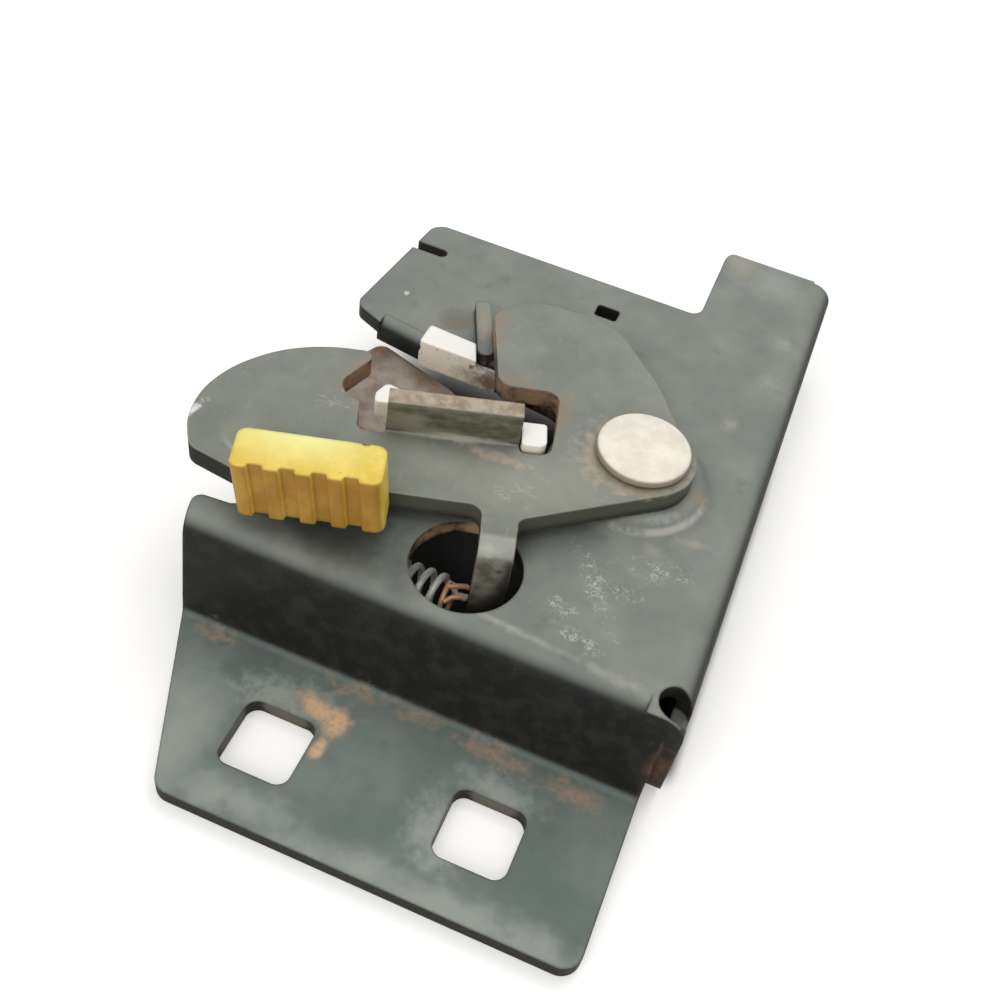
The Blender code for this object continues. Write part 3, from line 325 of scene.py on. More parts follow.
def turned_frame(angle, s, n):
    """Point of a frame turned about the pivot, s along it and n across it."""
    return (s * math.cos(angle) - n * math.sin(angle), s * math.sin(angle) + n * math.cos(angle))


def add_object(name, data):
    holder = bpy.data.objects.new(name, data)
    bpy.context.scene.collection.objects.link(holder)
    return holder


def as_mesh(curve_object):
    """Replace a curve object with the mesh that it evaluates to."""
    depsgraph = bpy.context.evaluated_depsgraph_get()
    mesh = bpy.data.meshes.new_from_object(curve_object.evaluated_get(depsgraph))
    edit = bmesh.new()
    edit.from_mesh(mesh)
    bmesh.ops.remove_doubles(edit, verts=edit.verts, dist=WELD)
    bmesh.ops.recalc_face_normals(edit, faces=edit.faces)
    edit.to_mesh(mesh)
    edit.free()
    solid = add_object(curve_object.name + "_mesh", mesh)
    solid.matrix_world = curve_object.matrix_world
    bpy.data.objects.remove(curve_object, do_unlink=True)
    return solid


def bake(solid, matrix):
    """Move a mesh and round its corners to a fine grid, so that flush faces are exactly flush."""
    solid.data.transform(matrix)
    for vertex in solid.data.vertices:
        vertex.co = [round(value / GRID) * GRID for value in vertex.co]
    return solid


def plate_shape(outlines, bottom, top):
    """Flat piece between two heights; the first outline is the rim, the others are holes."""
    curve = bpy.data.curves.new("flat", "CURVE")
    curve.dimensions = "2D"
    curve.fill_mode = "BOTH"
    curve.extrude = (top - bottom) / 2
    for outline in outlines:
        spline = curve.splines.new("POLY")
        spline.points.add(len(outline) - 1)
        for point, (x, y) in zip(spline.points, outline):
            point.co = (x, y, 0, 1)
        spline.use_cyclic_u = True
    solid = as_mesh(add_object("flat", curve))
    return bake(solid, Matrix.Translation((0, 0, (top + bottom) / 2)))


def slab(corners, bottom, top):
    """Flat piece whose corners (x, y, radius) are arcs."""
    return plate_shape([rounded(corners)], bottom, top)


def rod(x, y, radius, bottom, top, segments=ROUND_SEGMENTS):
    return plate_shape([circle(x, y, radius, segments)], bottom, top)


def soften(solid, radius, both=False):
    """Round the rim of a flat piece's top face, or of both its faces."""
    edit = bmesh.new()
    edit.from_mesh(solid.data)
    heights = [vertex.co.z for vertex in edit.verts]
    levels = [max(heights), min(heights)] if both else [max(heights)]
    rim = [edge for edge in edit.edges
           if edge.calc_face_angle(0) > RIM_ANGLE
           and any(all(abs(v.co.z - level) < GRID for v in edge.verts) for level in levels)]
    bmesh.ops.bevel(edit, geom=rim, offset=radius, segments=3, profile=0.5, affect="EDGES",
                    clamp_overlap=True)
    edit.to_mesh(solid.data)
    edit.free()
    return solid


def bent_section(path, radii, thickness):
    """Closed section of a bent sheet, from the line along its middle."""
    line = [path[0]]
    for i in range(1, len(path) - 1):
        corners = [(*path[i - 1], 0), (*path[i], radii[i - 1]), (*path[i + 1], 0)]
        line += rounded(corners)[1:-1]
    line.append(path[-1])
    left, right = [], []
    for i, point in enumerate(line):
        ahead = Vector(line[min(i + 1, len(line) - 1)]) - Vector(point)
        behind = Vector(point) - Vector(line[max(i - 1, 0)])
        a = ahead.normalized() if ahead.length > 0 else behind.normalized()
        b = behind.normalized() if behind.length > 0 else a
        along = (a + b).normalized()
        stretch = thickness / 2 / max(along.dot(a), 0.5)
        side = Vector((-along.y, along.x)) * stretch
        left.append(tuple(Vector(point) + side))
        right.append(tuple(Vector(point) - side))
    return left + right[::-1]


def stand_up(solid):
    """Turn a flat piece drawn in x and z, so that its thickness runs along y."""
    bake(solid, Matrix(((1, 0, 0, 0), (0, 0, 1, 0), (0, 1, 0, 0), (0, 0, 0, 1))))
    solid.data.flip_normals()
    return solid


def swept(section, start, end, angle=0.0):
    """Run an (n, z) section along s, in a frame turned about the pivot by the angle."""
    solid = plate_shape([section], start, end)
    axes = Matrix(((0, 0, 1, 0), (1, 0, 0, 0), (0, 1, 0, 0), (0, 0, 0, 1)))
    return bake(solid, Matrix.Rotation(angle, 4, "Z") @ axes)


def bent_edge(far, n, height, end, radius, thickness, start, stop, angle=0.0):
    """Strip of sheet that runs from far to n at one height, and is bent there to an end height."""
    path = [(far, height), (n, height), (n, end)]
    section = bent_section(path, [radius + thickness / 2], thickness)
    return swept(section, start, stop, angle)


def box(low, high, angle=0.0):
    bpy.ops.mesh.primitive_cube_add(size=1)
    solid = bpy.context.active_object
    size = [b - a for a, b in zip(low, high)]
    middle = [(a + b) / 2 for a, b in zip(low, high)]
    placed = Matrix.Translation(middle) @ Matrix.Diagonal((*size, 1))
    return bake(solid, Matrix.Rotation(angle, 4, "Z") @ placed)


def turned(profile, segments=ROUND_SEGMENTS):
    """Solid of revolution round the pivot; profile (radius, z) runs from top to bottom."""
    mesh = bpy.data.meshes.new("turned")
    edit = bmesh.new()
    verts = [edit.verts.new((radius, 0, z)) for radius, z in profile]
    for a, b in zip(verts, verts[1:]):
        edit.edges.new((a, b))
    if profile[0][0] > 0:
        edit.edges.new((verts[-1], verts[0]))
    edit.to_mesh(mesh)
    edit.free()
    solid = add_object("turned", mesh)
    screw = solid.modifiers.new("Screw", "SCREW")
    screw.steps = segments
    screw.render_steps = segments
    screw.use_merge_vertices = True
    screw.merge_threshold = 10 * WELD
    solid.data = evaluated_mesh(solid)
    solid.modifiers.clear()
    return bake(solid, Matrix())


def evaluated_mesh(solid):
    depsgraph = bpy.context.evaluated_depsgraph_get()
    return bpy.data.meshes.new_from_object(solid.evaluated_get(depsgraph))


def tidy_faces(solid):
    """Weld stray corners and drop the slivers that the Booleans leave."""
    edit = bmesh.new()
    edit.from_mesh(solid.data)
    bmesh.ops.remove_doubles(edit, verts=edit.verts, dist=2 * GRID)
    bmesh.ops.dissolve_degenerate(edit, edges=edit.edges, dist=GRID)
    loose = [face for face in edit.faces if all(len(edge.link_faces) == 1 for edge in face.edges)]
    bmesh.ops.delete(edit, geom=loose, context="FACES")
    edit.to_mesh(solid.data)
    edit.free()


def combine(solid, other, operation):
    """Boolean with another solid, which is used up."""
    modifier = solid.modifiers.new("Boolean", "BOOLEAN")
    modifier.object = other
    modifier.operation = operation
    modifier.solver = "EXACT"
    mesh = evaluated_mesh(solid)
    solid.modifiers.clear()
    solid.data = mesh
    bpy.data.objects.remove(other, do_unlink=True)
    tidy_faces(solid)
    return solid


def join(solid, other):
    return combine(solid, other, "UNION")


def cut(solid, other):
    return combine(solid, other, "DIFFERENCE")


def keep(solid, other):
    return combine(solid, other, "INTERSECT")


def wire(points, radius):
    """Round wire through the points, with closed ends."""
    curve = bpy.data.curves.new("wire", "CURVE")
    curve.dimensions = "3D"
    curve.bevel_depth = radius
    curve.bevel_resolution = 4
    curve.use_fill_caps = True
    spline = curve.splines.new("POLY")
    spline.points.add(len(points) - 1)
    for point, place in zip(spline.points, points):
        point.co = (*place, 1)
    return as_mesh(add_object("wire", curve))


# Pressed pan

def jaw_y(x):
    """Edge of the upper jaw, which falls gently towards the seat."""
    return JAW_Y + JAW_SLOPE * (x - JAW_LEFT)


def pan_outline():
    block_right = BLOCK_LEFT + BLOCK_WIDTH
    notch_left = BLOCK_LEFT - CLEAR
    fold_start = PLATE_RIGHT - FOLD_RADIUS
    notch_right = block_right + CLEAR
    notch_y = BLOCK_FRONT_Y + BLOCK_WALL + CLEAR
    return rounded([
        (PLATE_LEFT + 1.6 * MM, PLATE_TOP, PLATE_CORNER),
        (TAB_LEFT, PLATE_TOP, 2.2 * MM),
        (TAB_LEFT, TAB_TOP - GRID, 5.0 * MM),
        (fold_start, TAB_TOP - GRID, 2.6 * MM),
        (fold_start, FOLD_Y + 1 * MM, 0),
        (FLANGE_RIGHT, FOLD_Y + 0.5 * MM, 0),
        (FLANGE_RIGHT, FLANGE_EDGE_Y, FLANGE_CORNER),
        (FLANGE_LEFT + FLANGE_TAPER, FLANGE_EDGE_Y, FLANGE_CORNER),
        (FLANGE_LEFT, FOLD_Y - WEB_LEAN - 2 * MM, 2 * MM),
        (LOWER_JAW_LEFT, LOWER_JAW_Y, 1.5 * MM),
        (-52.5 * MM, LOWER_JAW_Y + 0.5 * MM, 2 * MM),
        (-44.0 * MM, -23.0 * MM, 8 * MM),
        (-31.0 * MM, SEAT_BOTTOM - 3.0 * MM, 9 * MM),
        (SEAT_X, SEAT_BOTTOM, SEAT_CORNER),
        (SEAT_X, SEAT_TOP, 4 * MM),
        (notch_right, SEAT_TOP + 1.6 * MM, 0),
        (notch_right, notch_y, 0),
        (notch_left, notch_y, 0),
        (notch_left, jaw_y(notch_left) + SHEET, 0),
        (JAW_LEFT, JAW_Y + SHEET, 0),
        (JAW_LEFT, JAW_Y + STEP, 0),
        (PLATE_LEFT - 1.4 * MM, JAW_Y + 2.6 * MM, 2.6 * MM),
    ])


def pan_body():
    """Tab end, plate, web and flange as one bent section, trimmed to the pan's outline."""
    mid = SHEET / 2
    radius = FOLD_RADIUS - mid
    path = [(TAB_TOP - mid, -TAB_FOLD_DEPTH), (TAB_TOP - mid, -mid), (FOLD_Y - mid, -mid),
            (FOLD_Y - mid - WEB_LEAN, FLANGE_TOP - mid), (FLANGE_EDGE_Y - 5 * MM, FLANGE_TOP - mid)]
    section = bent_section(path, [TAB_BEND_RADIUS, radius, radius], SHEET)
    body = swept(section, LOWER_JAW_LEFT - 10 * MM, FLANGE_RIGHT + 5 * MM)
    return keep(body, plate_shape([pan_outline()], 2 * FLANGE_BOTTOM, 2 * SHEET))


def right_wall():
    """Side wall bent down along the plate's right edge."""
    mid = SHEET / 2
    path = [(0, -mid), (PLATE_RIGHT - mid, -mid), (PLATE_RIGHT - mid, FLANGE_BOTTOM)]
    section = bent_section(path, [FOLD_RADIUS - mid], SHEET)
    wall = plate_shape([section], FOLD_Y - WEB_LEAN, WALL_END_Y)
    stand_up(wall)
    strip = box((WALL_INNER_X - 3.5 * MM, -1, -1), (1, 1, 1))
    side = rounded([
        (FOLD_Y - WEB_LEAN, 1 * MM, 0), (FOLD_Y - WEB_LEAN, FLANGE_BOTTOM, 5 * MM),
        (WALL_END_Y, FLANGE_BOTTOM, 4 * MM), (WALL_END_Y, 1 * MM, 0)])
    return keep(keep(wall, strip), swept(side, 0, 2 * PLATE_RIGHT))


def jaw_flange():
    """Down-turned edge of the upper jaw, left of the white block."""
    angle = math.atan(JAW_SLOPE)
    edge = JAW_Y * math.cos(angle) - JAW_LEFT * math.sin(angle)
    start = JAW_LEFT * math.cos(angle) + JAW_Y * math.sin(angle)
    thickness = SHEET - 2 * STEP
    flange = bent_edge(edge + 8 * MM, edge + thickness / 2, -SHEET / 2, -JAW_DROP, JAW_BEND_RADIUS,
                       thickness, start - 0.4 * MM, start + 2 * BLOCK_WIDTH, angle)
    strip = box((-1, JAW_Y - 8 * MM, -1), (BLOCK_LEFT - CLEAR - STEP, 1, 1))
    return keep(flange, strip)


def seat_flange():
    """Down-turned end of the striker seat, which also stops the primary catch."""
    face = SEAT_X + STEP
    return box((face, CATCH_ARM_TOP + CLEAR, -SEAT_FLANGE_DEPTH),
               (face + SHEET, SEAT_FLANGE_TOP, -SHEET / 2))


def cable_slot():
    """Cutter for the slot in the tab's turned-down end, which holds the cable's outer sleeve."""
    left = CATCH_ARM_X - CABLE_SLOT_WIDTH / 2
    right = CATCH_ARM_X + CABLE_SLOT_WIDTH / 2
    top = CABLE_SLOT_DEPTH - TAB_FOLD_DEPTH
    mouth = [(left, -2 * TAB_FOLD_DEPTH, 0), (right, -2 * TAB_FOLD_DEPTH, 0),
             (right, top, CABLE_SLOT_WIDTH / 2), (left, top, CABLE_SLOT_WIDTH / 2)]
    return stand_up(slab(mouth, TAB_TOP - 2 * SHEET, TAB_TOP + SHEET))


def spring_anchor():
    """Ear bent down from the lower jaw, with the hole for the safety spring's far hook."""
    middle = ANCHOR_Y - SHEET / 2
    left = ANCHOR_X - ANCHOR_WIDTH / 2
    right = ANCHOR_X + ANCHOR_WIDTH / 2
    ear = bent_edge(LOWER_JAW_Y - 2 * MM, middle, -SHEET / 2, -ANCHOR_DROP, BEND_RADIUS,
                    SHEET - 2 * STEP, left, right)
    corners = [(left - 1 * MM, 1 * MM, 0), (left, -ANCHOR_DROP, 2.2 * MM),
               (right, -ANCHOR_DROP, 2.2 * MM), (right + 1 * MM, 1 * MM, 0)]
    ear = keep(ear, stand_up(slab(corners, middle - 8 * MM, middle + 8 * MM)))
    hole = rod(ANCHOR_X, SAFETY_Z, WIRE_HOLE_RADIUS, middle - SHEET, middle + SHEET, WIRE_HOLE_SEGMENTS)
    return cut(ear, stand_up(hole))


def boss():
    """Raised seat round the rivet, pressed up from the plate."""
    shoulder = []
    for k in range(SHOULDER_STEPS):
        part = k / SHOULDER_STEPS
        rise = (1 + math.cos(math.pi * part)) / 2
        shoulder.append((BOSS_RADIUS - BOSS_SHOULDER * (1 - part), BOSS_HEIGHT * rise))
    foot = [(BOSS_RADIUS, -STEP), (BOSS_RADIUS, -SHEET / 2), (0, -SHEET / 2)]
    return turned([(0, BOSS_HEIGHT)] + shoulder + foot)


def boss_hollow():
    """The hollow that the pressed boss leaves on the plate's back."""
    inner = BOSS_RADIUS - BOSS_WALL
    return turned([(0, BOSS_UNDERSIDE), (inner - BOSS_SHOULDER, BOSS_UNDERSIDE),
                   (inner, -SHEET - 0.1 * MM), (inner, -2 * SHEET), (0, -2 * SHEET)])


def stop_rib():
    """Short rib pressed up beside the white block."""
    half = RIB_WIDTH / 2
    corners = [(0, -half, half), (0, half, half),
               (RIB_LENGTH, half, half * 0.6), (RIB_LENGTH, -half, half * 0.6)]
    rib = soften(slab(corners, -RIB_ROOT, RIB_HEIGHT), RIB_EDGE)
    place = Matrix.Translation((RIB_END_X, RIB_END_Y, 0))
    return bake(rib, place @ Matrix.Rotation(RIB_ANGLE, 4, "Z"))


def block_corners(left, right, low, high, radius):
    return [(left, low, radius), (right, low, radius), (right, high, radius), (left, high, radius)]


def square_holes():
    """Cutters for the two square holes of the fixing flange."""
    half = SQUARE_HOLE / 2
    low, high = SQUARE_HOLE_Y - half, SQUARE_HOLE_Y + half
    cutters = []
    for side in (-1, 1):
        x = SQUARE_HOLE_MID_X + side * SQUARE_HOLE_SPACING / 2
        square = block_corners(x - half, x + half, low, high, SQUARE_HOLE_CORNER)
        cutters.append(slab(square, FLANGE_BOTTOM - SHEET, FLANGE_TOP + SHEET))
    return cutters


def plate_cutters():
    """Every hole through the plate."""
    low, high = 2 * FLANGE_BOTTOM, 2 * BOSS_HEIGHT
    slot_end = PLATE_LEFT + 1.1 * MM + TOP_SLOT_LENGTH
    half = TOP_SLOT_WIDTH / 2
    slot = [(PLATE_LEFT - 5 * MM, TOP_SLOT_Y - half, 0), (slot_end, TOP_SLOT_Y - half, half),
            (slot_end, TOP_SLOT_Y + half, half), (PLATE_LEFT - 5 * MM, TOP_SLOT_Y + half, 0)]
    x, y = TOP_HOLE_LENGTH / 2, TOP_HOLE_WIDTH / 2
    hole = block_corners(TOP_HOLE_X - x, TOP_HOLE_X + x, TOP_HOLE_Y - y, TOP_HOLE_Y + y, 0.6 * MM)
    return [rod(0, 0, BORE_RADIUS, low, high),
            rod(WINDOW_X, WINDOW_Y, WINDOW_RADIUS, -2 * SHEET, high),
            rod(FLANGE_RIGHT, FOLD_Y, RELIEF_RADIUS, -2 * SHEET, high, RELIEF_SEGMENTS),
            slab(slot, low, high), slab(hole, low, high)]


def dimple():
    """Shallow round dent above the white block."""
    ball = (DIMPLE_RADIUS ** 2 + DIMPLE_DEPTH ** 2) / (2 * DIMPLE_DEPTH)
    bpy.ops.mesh.primitive_uv_sphere_add(segments=DIMPLE_SEGMENTS, ring_count=DIMPLE_SEGMENTS, radius=ball)
    sphere = bpy.context.active_object
    return bake(sphere, Matrix.Translation((DIMPLE_X, DIMPLE_Y, ball - DIMPLE_DEPTH)))


def base_plate():
    pan = pan_body()
    for cutter in square_holes():
        pan = cut(pan, cutter)
    pan = cut(pan, dimple())
    for piece in (right_wall(), jaw_flange(), seat_flange(), spring_anchor(), boss(), stop_rib()):
        pan = join(pan, piece)
    for cutter in [boss_hollow(), cable_slot()] + plate_cutters():
        pan = cut(pan, cutter)
    return pan


# Safety lever

def lever_outline():
    """Edge of the lever's flat part, from the nose round the hook, slot, lobe and eye."""
    def slot(s, n):
        return turned_frame(UPSTAND_ANGLE, s, n)

    def edge(s, n):
        return turned_frame(ARM_ANGLE, s, n)

    face = UPSTAND_FACE_N + 0.2 * MM
    lug_left = GRIP_MID_S - LUG_WIDTH / 2
    neck_right = TAIL_LEFT_S + TAIL_WIDTH
    neck_end = TAIL_FACE_N + LEVER_THICK + TAIL_BEND_RADIUS
    eye = arc(8.7 * MM, math.radians(62), math.radians(-52), 20)
    nose = mm((-61.2, -31.2, 3), (-64.4, -26.4, 12), (-65.6, -20.2, 18), (-64.2, -13.6, 20),
              (-59.8, -6.6, 22), (-53.4, -1.9, 24))
    hook = mm((-45.2, 0.9, 1.4), (-48.0, -8.2, 3.0), (-45.6, -10.6, 0.8), (-43.4, -10.6, 0.8))
    lobe = mm((-13.9, -1.5, 3), (-16.0, 6.6, 2.2), (-25.6, 3.6, 2.6), (-32.9, 20.0, 4),
              (-28.0, 26.2, 8), (-14.0, 28.0, 12), (-2.2, 16.6, 12))
    return rounded(nose + hook + [
        (*slot(UPSTAND_LEFT - 4.4 * MM, UPSTAND_FACE_N - 0.6 * MM), 1.6 * MM),
        (*slot(UPSTAND_LEFT - 0.4 * MM, UPSTAND_FACE_N - 0.6 * MM), 0.5 * MM),
        (*slot(UPSTAND_LEFT + 2 * STEP, face), 0),
        (*slot(UPSTAND_RIGHT - 2 * STEP, face), 0),
        (*slot(UPSTAND_RIGHT + 0.3 * MM, UPSTAND_FACE_N - 1.4 * MM), 0.6 * MM),
        (*slot(UPSTAND_RIGHT + PAD_EAR_LENGTH + 0.7 * MM, UPSTAND_FACE_N - 1.4 * MM), 2.0 * MM),
    ] + lobe + sharp(eye) + [
        (*edge(neck_right, ARM_EDGE_N - 1.8 * MM), 3 * MM),
        (*edge(neck_right, neck_end), 0),
        (*edge(TAIL_LEFT_S, neck_end), 0),
        (*edge(TAIL_LEFT_S, ARM_EDGE_N), 2.4 * MM),
        (*edge(lug_left - 0.4 * MM, ARM_EDGE_N), 0),
        (*edge(lug_left - 0.8 * MM, ARM_EDGE_N + 0.9 * MM), 0.5 * MM),
        (*edge(lug_left - 1.8 * MM, ARM_EDGE_N - 0.3 * MM), 0.6 * MM),
    ])


def lever_upstand():
    """Edge of the slot turned up, square to the plate."""
    n = UPSTAND_FACE_N + UPSTAND_THICK / 2
    return bent_edge(n - 5 * MM, n, LEVER_MIDDLE, LEVER_TOP + UPSTAND_HEIGHT, UPSTAND_BEND_RADIUS,
                     UPSTAND_THICK, UPSTAND_LEFT, UPSTAND_RIGHT, UPSTAND_ANGLE)


def lug_face_n():
    return GRIP_BACK_N - GRIP_DEPTH + GRIP_WALL


def lever_lug():
    """Lug turned up from the lower edge, inside the finger grip."""
    n = lug_face_n() + LEVER_THICK / 2
    start = GRIP_MID_S - LUG_WIDTH / 2
    return bent_edge(n + 8 * MM, n, LEVER_MIDDLE, LEVER_TOP + LUG_HEIGHT, BEND_RADIUS,
                     LEVER_THICK - 2 * STEP, start, start + LUG_WIDTH, ARM_ANGLE)


def tail_hole():
    """Middle of the tail's hole, at half of its thickness."""
    return turned_frame(ARM_ANGLE, TAIL_HOLE_S, TAIL_FACE_N + LEVER_THICK / 2)


def lever_tail():
    """Tail turned down through the window, with the hole for the spring's hook."""
    n = TAIL_FACE_N + LEVER_THICK / 2
    tail = bent_edge(n + 6 * MM, n, LEVER_MIDDLE, TAIL_END, TAIL_BEND_RADIUS, LEVER_THICK - 0.2 * STEP,
                     TAIL_LEFT_S + STEP, TAIL_LEFT_S + TAIL_WIDTH - STEP, ARM_ANGLE)
    drill = stand_up(rod(0, SAFETY_Z, WIRE_HOLE_RADIUS, -LEVER_THICK, LEVER_THICK, WIRE_HOLE_SEGMENTS))
    bake(drill, Matrix.Translation((*tail_hole(), 0)) @ Matrix.Rotation(ARM_ANGLE, 4, "Z"))
    return cut(tail, drill)


def safety_lever():
    outlines = [lever_outline(), circle(0, 0, BORE_RADIUS)]
    lever = soften(plate_shape(outlines, LEVER_BOTTOM, LEVER_TOP), LEVER_EDGE_RADIUS)
    for piece in (lever_upstand(), lever_lug(), lever_tail()):
        lever = join(lever, piece)
    return lever


def finger_grip():
    """Moulded grip with upright grooves, pushed over the lever's lug."""
    left = GRIP_MID_S - GRIP_LENGTH / 2
    right = GRIP_MID_S + GRIP_LENGTH / 2
    front = GRIP_BACK_N - GRIP_DEPTH
    bottom = LEVER_TOP - GRIP_DROP
    corners = [(left, front, GRIP_CORNER)]
    first = GRIP_MID_S - (GROOVE_COUNT - 1) * GROOVE_PITCH / 2 - 0.4 * MM
    for k in range(GROOVE_COUNT):
        start = first + k * GROOVE_PITCH - GROOVE_WIDTH / 2
        end = first + k * GROOVE_PITCH + GROOVE_WIDTH / 2
        corners += [(start, front, 0.2 * MM), (start + 0.3 * MM, front + GROOVE_DEPTH, 0.2 * MM),
                    (end - 0.3 * MM, front + GROOVE_DEPTH, 0.2 * MM), (end, front, 0.2 * MM)]
    corners += [(right, front, GRIP_CORNER), (right, GRIP_BACK_N, GRIP_CORNER),
                (left, GRIP_BACK_N, GRIP_CORNER)]
    grip = soften(slab(corners, bottom, bottom + GRIP_HEIGHT), 0.6 * MM, both=True)
    lean = Matrix.Identity(4)
    lean[0][2] = -GRIP_LEAN
    lean[0][3] = GRIP_LEAN * (bottom + GRIP_HEIGHT)
    bake(grip, Matrix.Rotation(ARM_ANGLE, 4, "Z") @ lean)
    lug_half = LUG_WIDTH / 2 + CLEAR
    front_wall = lug_face_n() - CLEAR
    back_wall = front_wall + LEVER_THICK + 2 * CLEAR
    low = bottom - SHEET
    shelf = LEVER_TOP + BEND_RADIUS
    roof = LEVER_TOP + LUG_HEIGHT + CLEAR
    pocket = swept([(front_wall, low), (GRIP_BACK_N + SHEET, low), (GRIP_BACK_N + SHEET, shelf),
                    (back_wall, shelf), (back_wall, roof), (front_wall, roof)],
                   GRIP_MID_S - lug_half, GRIP_MID_S + lug_half, ARM_ANGLE)
    step = box((left - SHEET, ARM_EDGE_N - CLEAR, low),
               (right + SHEET, GRIP_BACK_N + 2 * SHEET, LEVER_TOP + CLEAR), ARM_ANGLE)
    return cut(cut(grip, pocket), step)


def guide_pad():
    """White pad that lines the upstand and wraps both of its ends."""
    back = UPSTAND_FACE_N + UPSTAND_THICK + CLEAR
    front = back + PAD_THICK
    top = LEVER_TOP + PAD_TOP
    body_top = LEVER_TOP - CLEAR
    left = UPSTAND_LEFT
    body = slab([
        (left - 0.2 * MM, back, 0), (UPSTAND_RIGHT + 2 * MM, back, 0),
        (UPSTAND_RIGHT + 2 * MM, front, 0.8 * MM), (left + 5 * MM, front, 2 * MM),
        (left + 1.6 * MM, front + 2.4 * MM, 0.8 * MM), (left - 0.2 * MM, front + 2.6 * MM, 0),
    ], PAD_BOTTOM, body_top)
    lip = slab([
        (left - 2.2 * MM, back + 0.6 * MM, 0.6 * MM), (left + 1.4 * MM, back + 0.6 * MM, 0),
        (left + 1.4 * MM, front + 2.0 * MM, 0), (left - 0.6 * MM, front + 3.0 * MM, 1.0 * MM),
        (left - 2.2 * MM, back + 2.6 * MM, 1.2 * MM),
    ], body_top - PAD_LIP_ROOT, top)
    ear_left = UPSTAND_RIGHT + CLEAR
    ear_right = UPSTAND_RIGHT + PAD_EAR_LENGTH
    ear_front = UPSTAND_FACE_N - PAD_EAR_REACH
    ear = slab([
        (ear_left, ear_front, 0.8 * MM), (ear_right, ear_front, 1.4 * MM),
        (ear_right, back + 0.7 * MM, 0.6 * MM), (ear_left, back + 0.7 * MM, 0),
    ], LEVER_BOTTOM + CLEAR, LEVER_TOP + PAD_EAR_TOP)
    pad = join(join(body, lip), ear)
    return bake(pad, Matrix.Rotation(UPSTAND_ANGLE, 4, "Z"))


def jaw_block():
    """White block clipped over the upper jaw, with a low tongue that runs on under the lever."""
    right = BLOCK_LEFT + BLOCK_WIDTH
    cap_right = BLOCK_LEFT + BLOCK_CAP_WIDTH
    back = BLOCK_FRONT_Y + BLOCK_WALL
    bottom = -JAW_DROP
    wall = box((BLOCK_LEFT, BLOCK_FRONT_Y, bottom), (right, back, -RIB_ROOT - CLEAR))
    cap = slab([
        (BLOCK_LEFT, BLOCK_FRONT_Y, 0.5 * MM), (cap_right, BLOCK_FRONT_Y, 0),
        (cap_right - 1.7 * MM, BLOCK_FRONT_Y + BLOCK_CAP_REACH - 0.6 * MM, 0.5 * MM),
        (BLOCK_LEFT, BLOCK_FRONT_Y + BLOCK_CAP_REACH, 0.5 * MM),
    ], CLEAR, BLOCK_PROUD)
    soften(cap, 0.3 * MM)
    leaf = box((BLOCK_LEFT, back - 0.5 * MM, -SHEET - CLEAR - BLOCK_LEAF),
               (right, BLOCK_FRONT_Y + BLOCK_CAP_REACH, -SHEET - CLEAR))
    riser = box((BLOCK_LEFT + 0.4 * MM, BLOCK_FRONT_Y + 0.02 * MM, -2 * RIB_ROOT - CLEAR),
                (cap_right - 1.0 * MM, back - 0.1 * MM, 0.8 * MM))
    return join(join(join(wall, riser), cap), leaf)


# Primary catch

def catch_outline():
    hold_start = math.pi + math.asin(-CATCH_ARM_TOP / CATCH_HOLD_RADIUS)
    arm_root = math.pi + math.asin(-CATCH_ARM_TOP / CATCH_HUB_RADIUS)
    hold = arc(CATCH_HOLD_RADIUS, hold_start, math.radians(173), 12)
    hub = arc(CATCH_HUB_RADIUS, math.radians(-105), math.radians(-50), 10)
    hub_back = arc(CATCH_HUB_RADIUS, math.radians(35), arm_root, 24)
    claw = mm((-27.5, 4.8, 1.5), (-35.6, 9.0, 1.2), (-50.4, 13.8, 2), (-55.6, 2.0, 4), (-54.0, -6.0, 5),
              (-43.0, -14.0, 7), (-29.0, -11.6, 3))
    return rounded(sharp(hold) + claw + sharp(hub) + [
        (CATCH_ARM_X + 3.0 * MM, -3.6 * MM, 2.4 * MM),
        (CATCH_ARM_X + 3.0 * MM, 3.6 * MM, 2.4 * MM),
    ] + sharp(hub_back))


def catch_lever():
    holes = [circle(0, 0, BORE_RADIUS), circle(CATCH_ARM_X, 0, CABLE_HOLE_RADIUS, CABLE_HOLE_SEGMENTS)]
    return plate_shape([catch_outline()] + holes, CATCH_BOTTOM, CATCH_TOP)


def helix(radius, turns, steps, length, start_angle=0.0):
    """Turns of wire as points: the distance along, and the two coordinates across."""
    points = []
    for k in range(steps + 1):
        angle = start_angle + 2 * math.pi * turns * k / steps
        points.append((length * k / steps, radius * math.cos(angle), radius * math.sin(angle)))
    return points


def catch_spring():
    """Torsion spring on the spool: one leg hooks under the catch's arm, the other presses the wall."""
    top = CATCH_BOTTOM - CLEAR - CATCH_WIRE_RADIUS - 0.2 * MM
    turns = helix(CATCH_COIL_RADIUS, CATCH_TURNS, CATCH_STEPS, CATCH_COIL_PITCH * CATCH_TURNS,
                  CATCH_COIL_START)
    coil = [(x, y, top - down) for down, x, y in turns]
    hook = [(CATCH_HOOK_X, CATCH_HOOK_Y, CATCH_TOP - 1.0 * MM),
            (CATCH_HOOK_X, CATCH_HOOK_Y, CATCH_BOTTOM - 0.4 * MM),
            (CATCH_HOOK_X + 0.8 * MM, CATCH_HOOK_Y + 0.1 * MM, top)]
    last = coil[-1]
    leg = [(WALL_INNER_X - CATCH_WIRE_RADIUS - CLEAR, last[1] + 6 * MM, last[2])]
    return wire(hook + coil + leg, CATCH_WIRE_RADIUS)


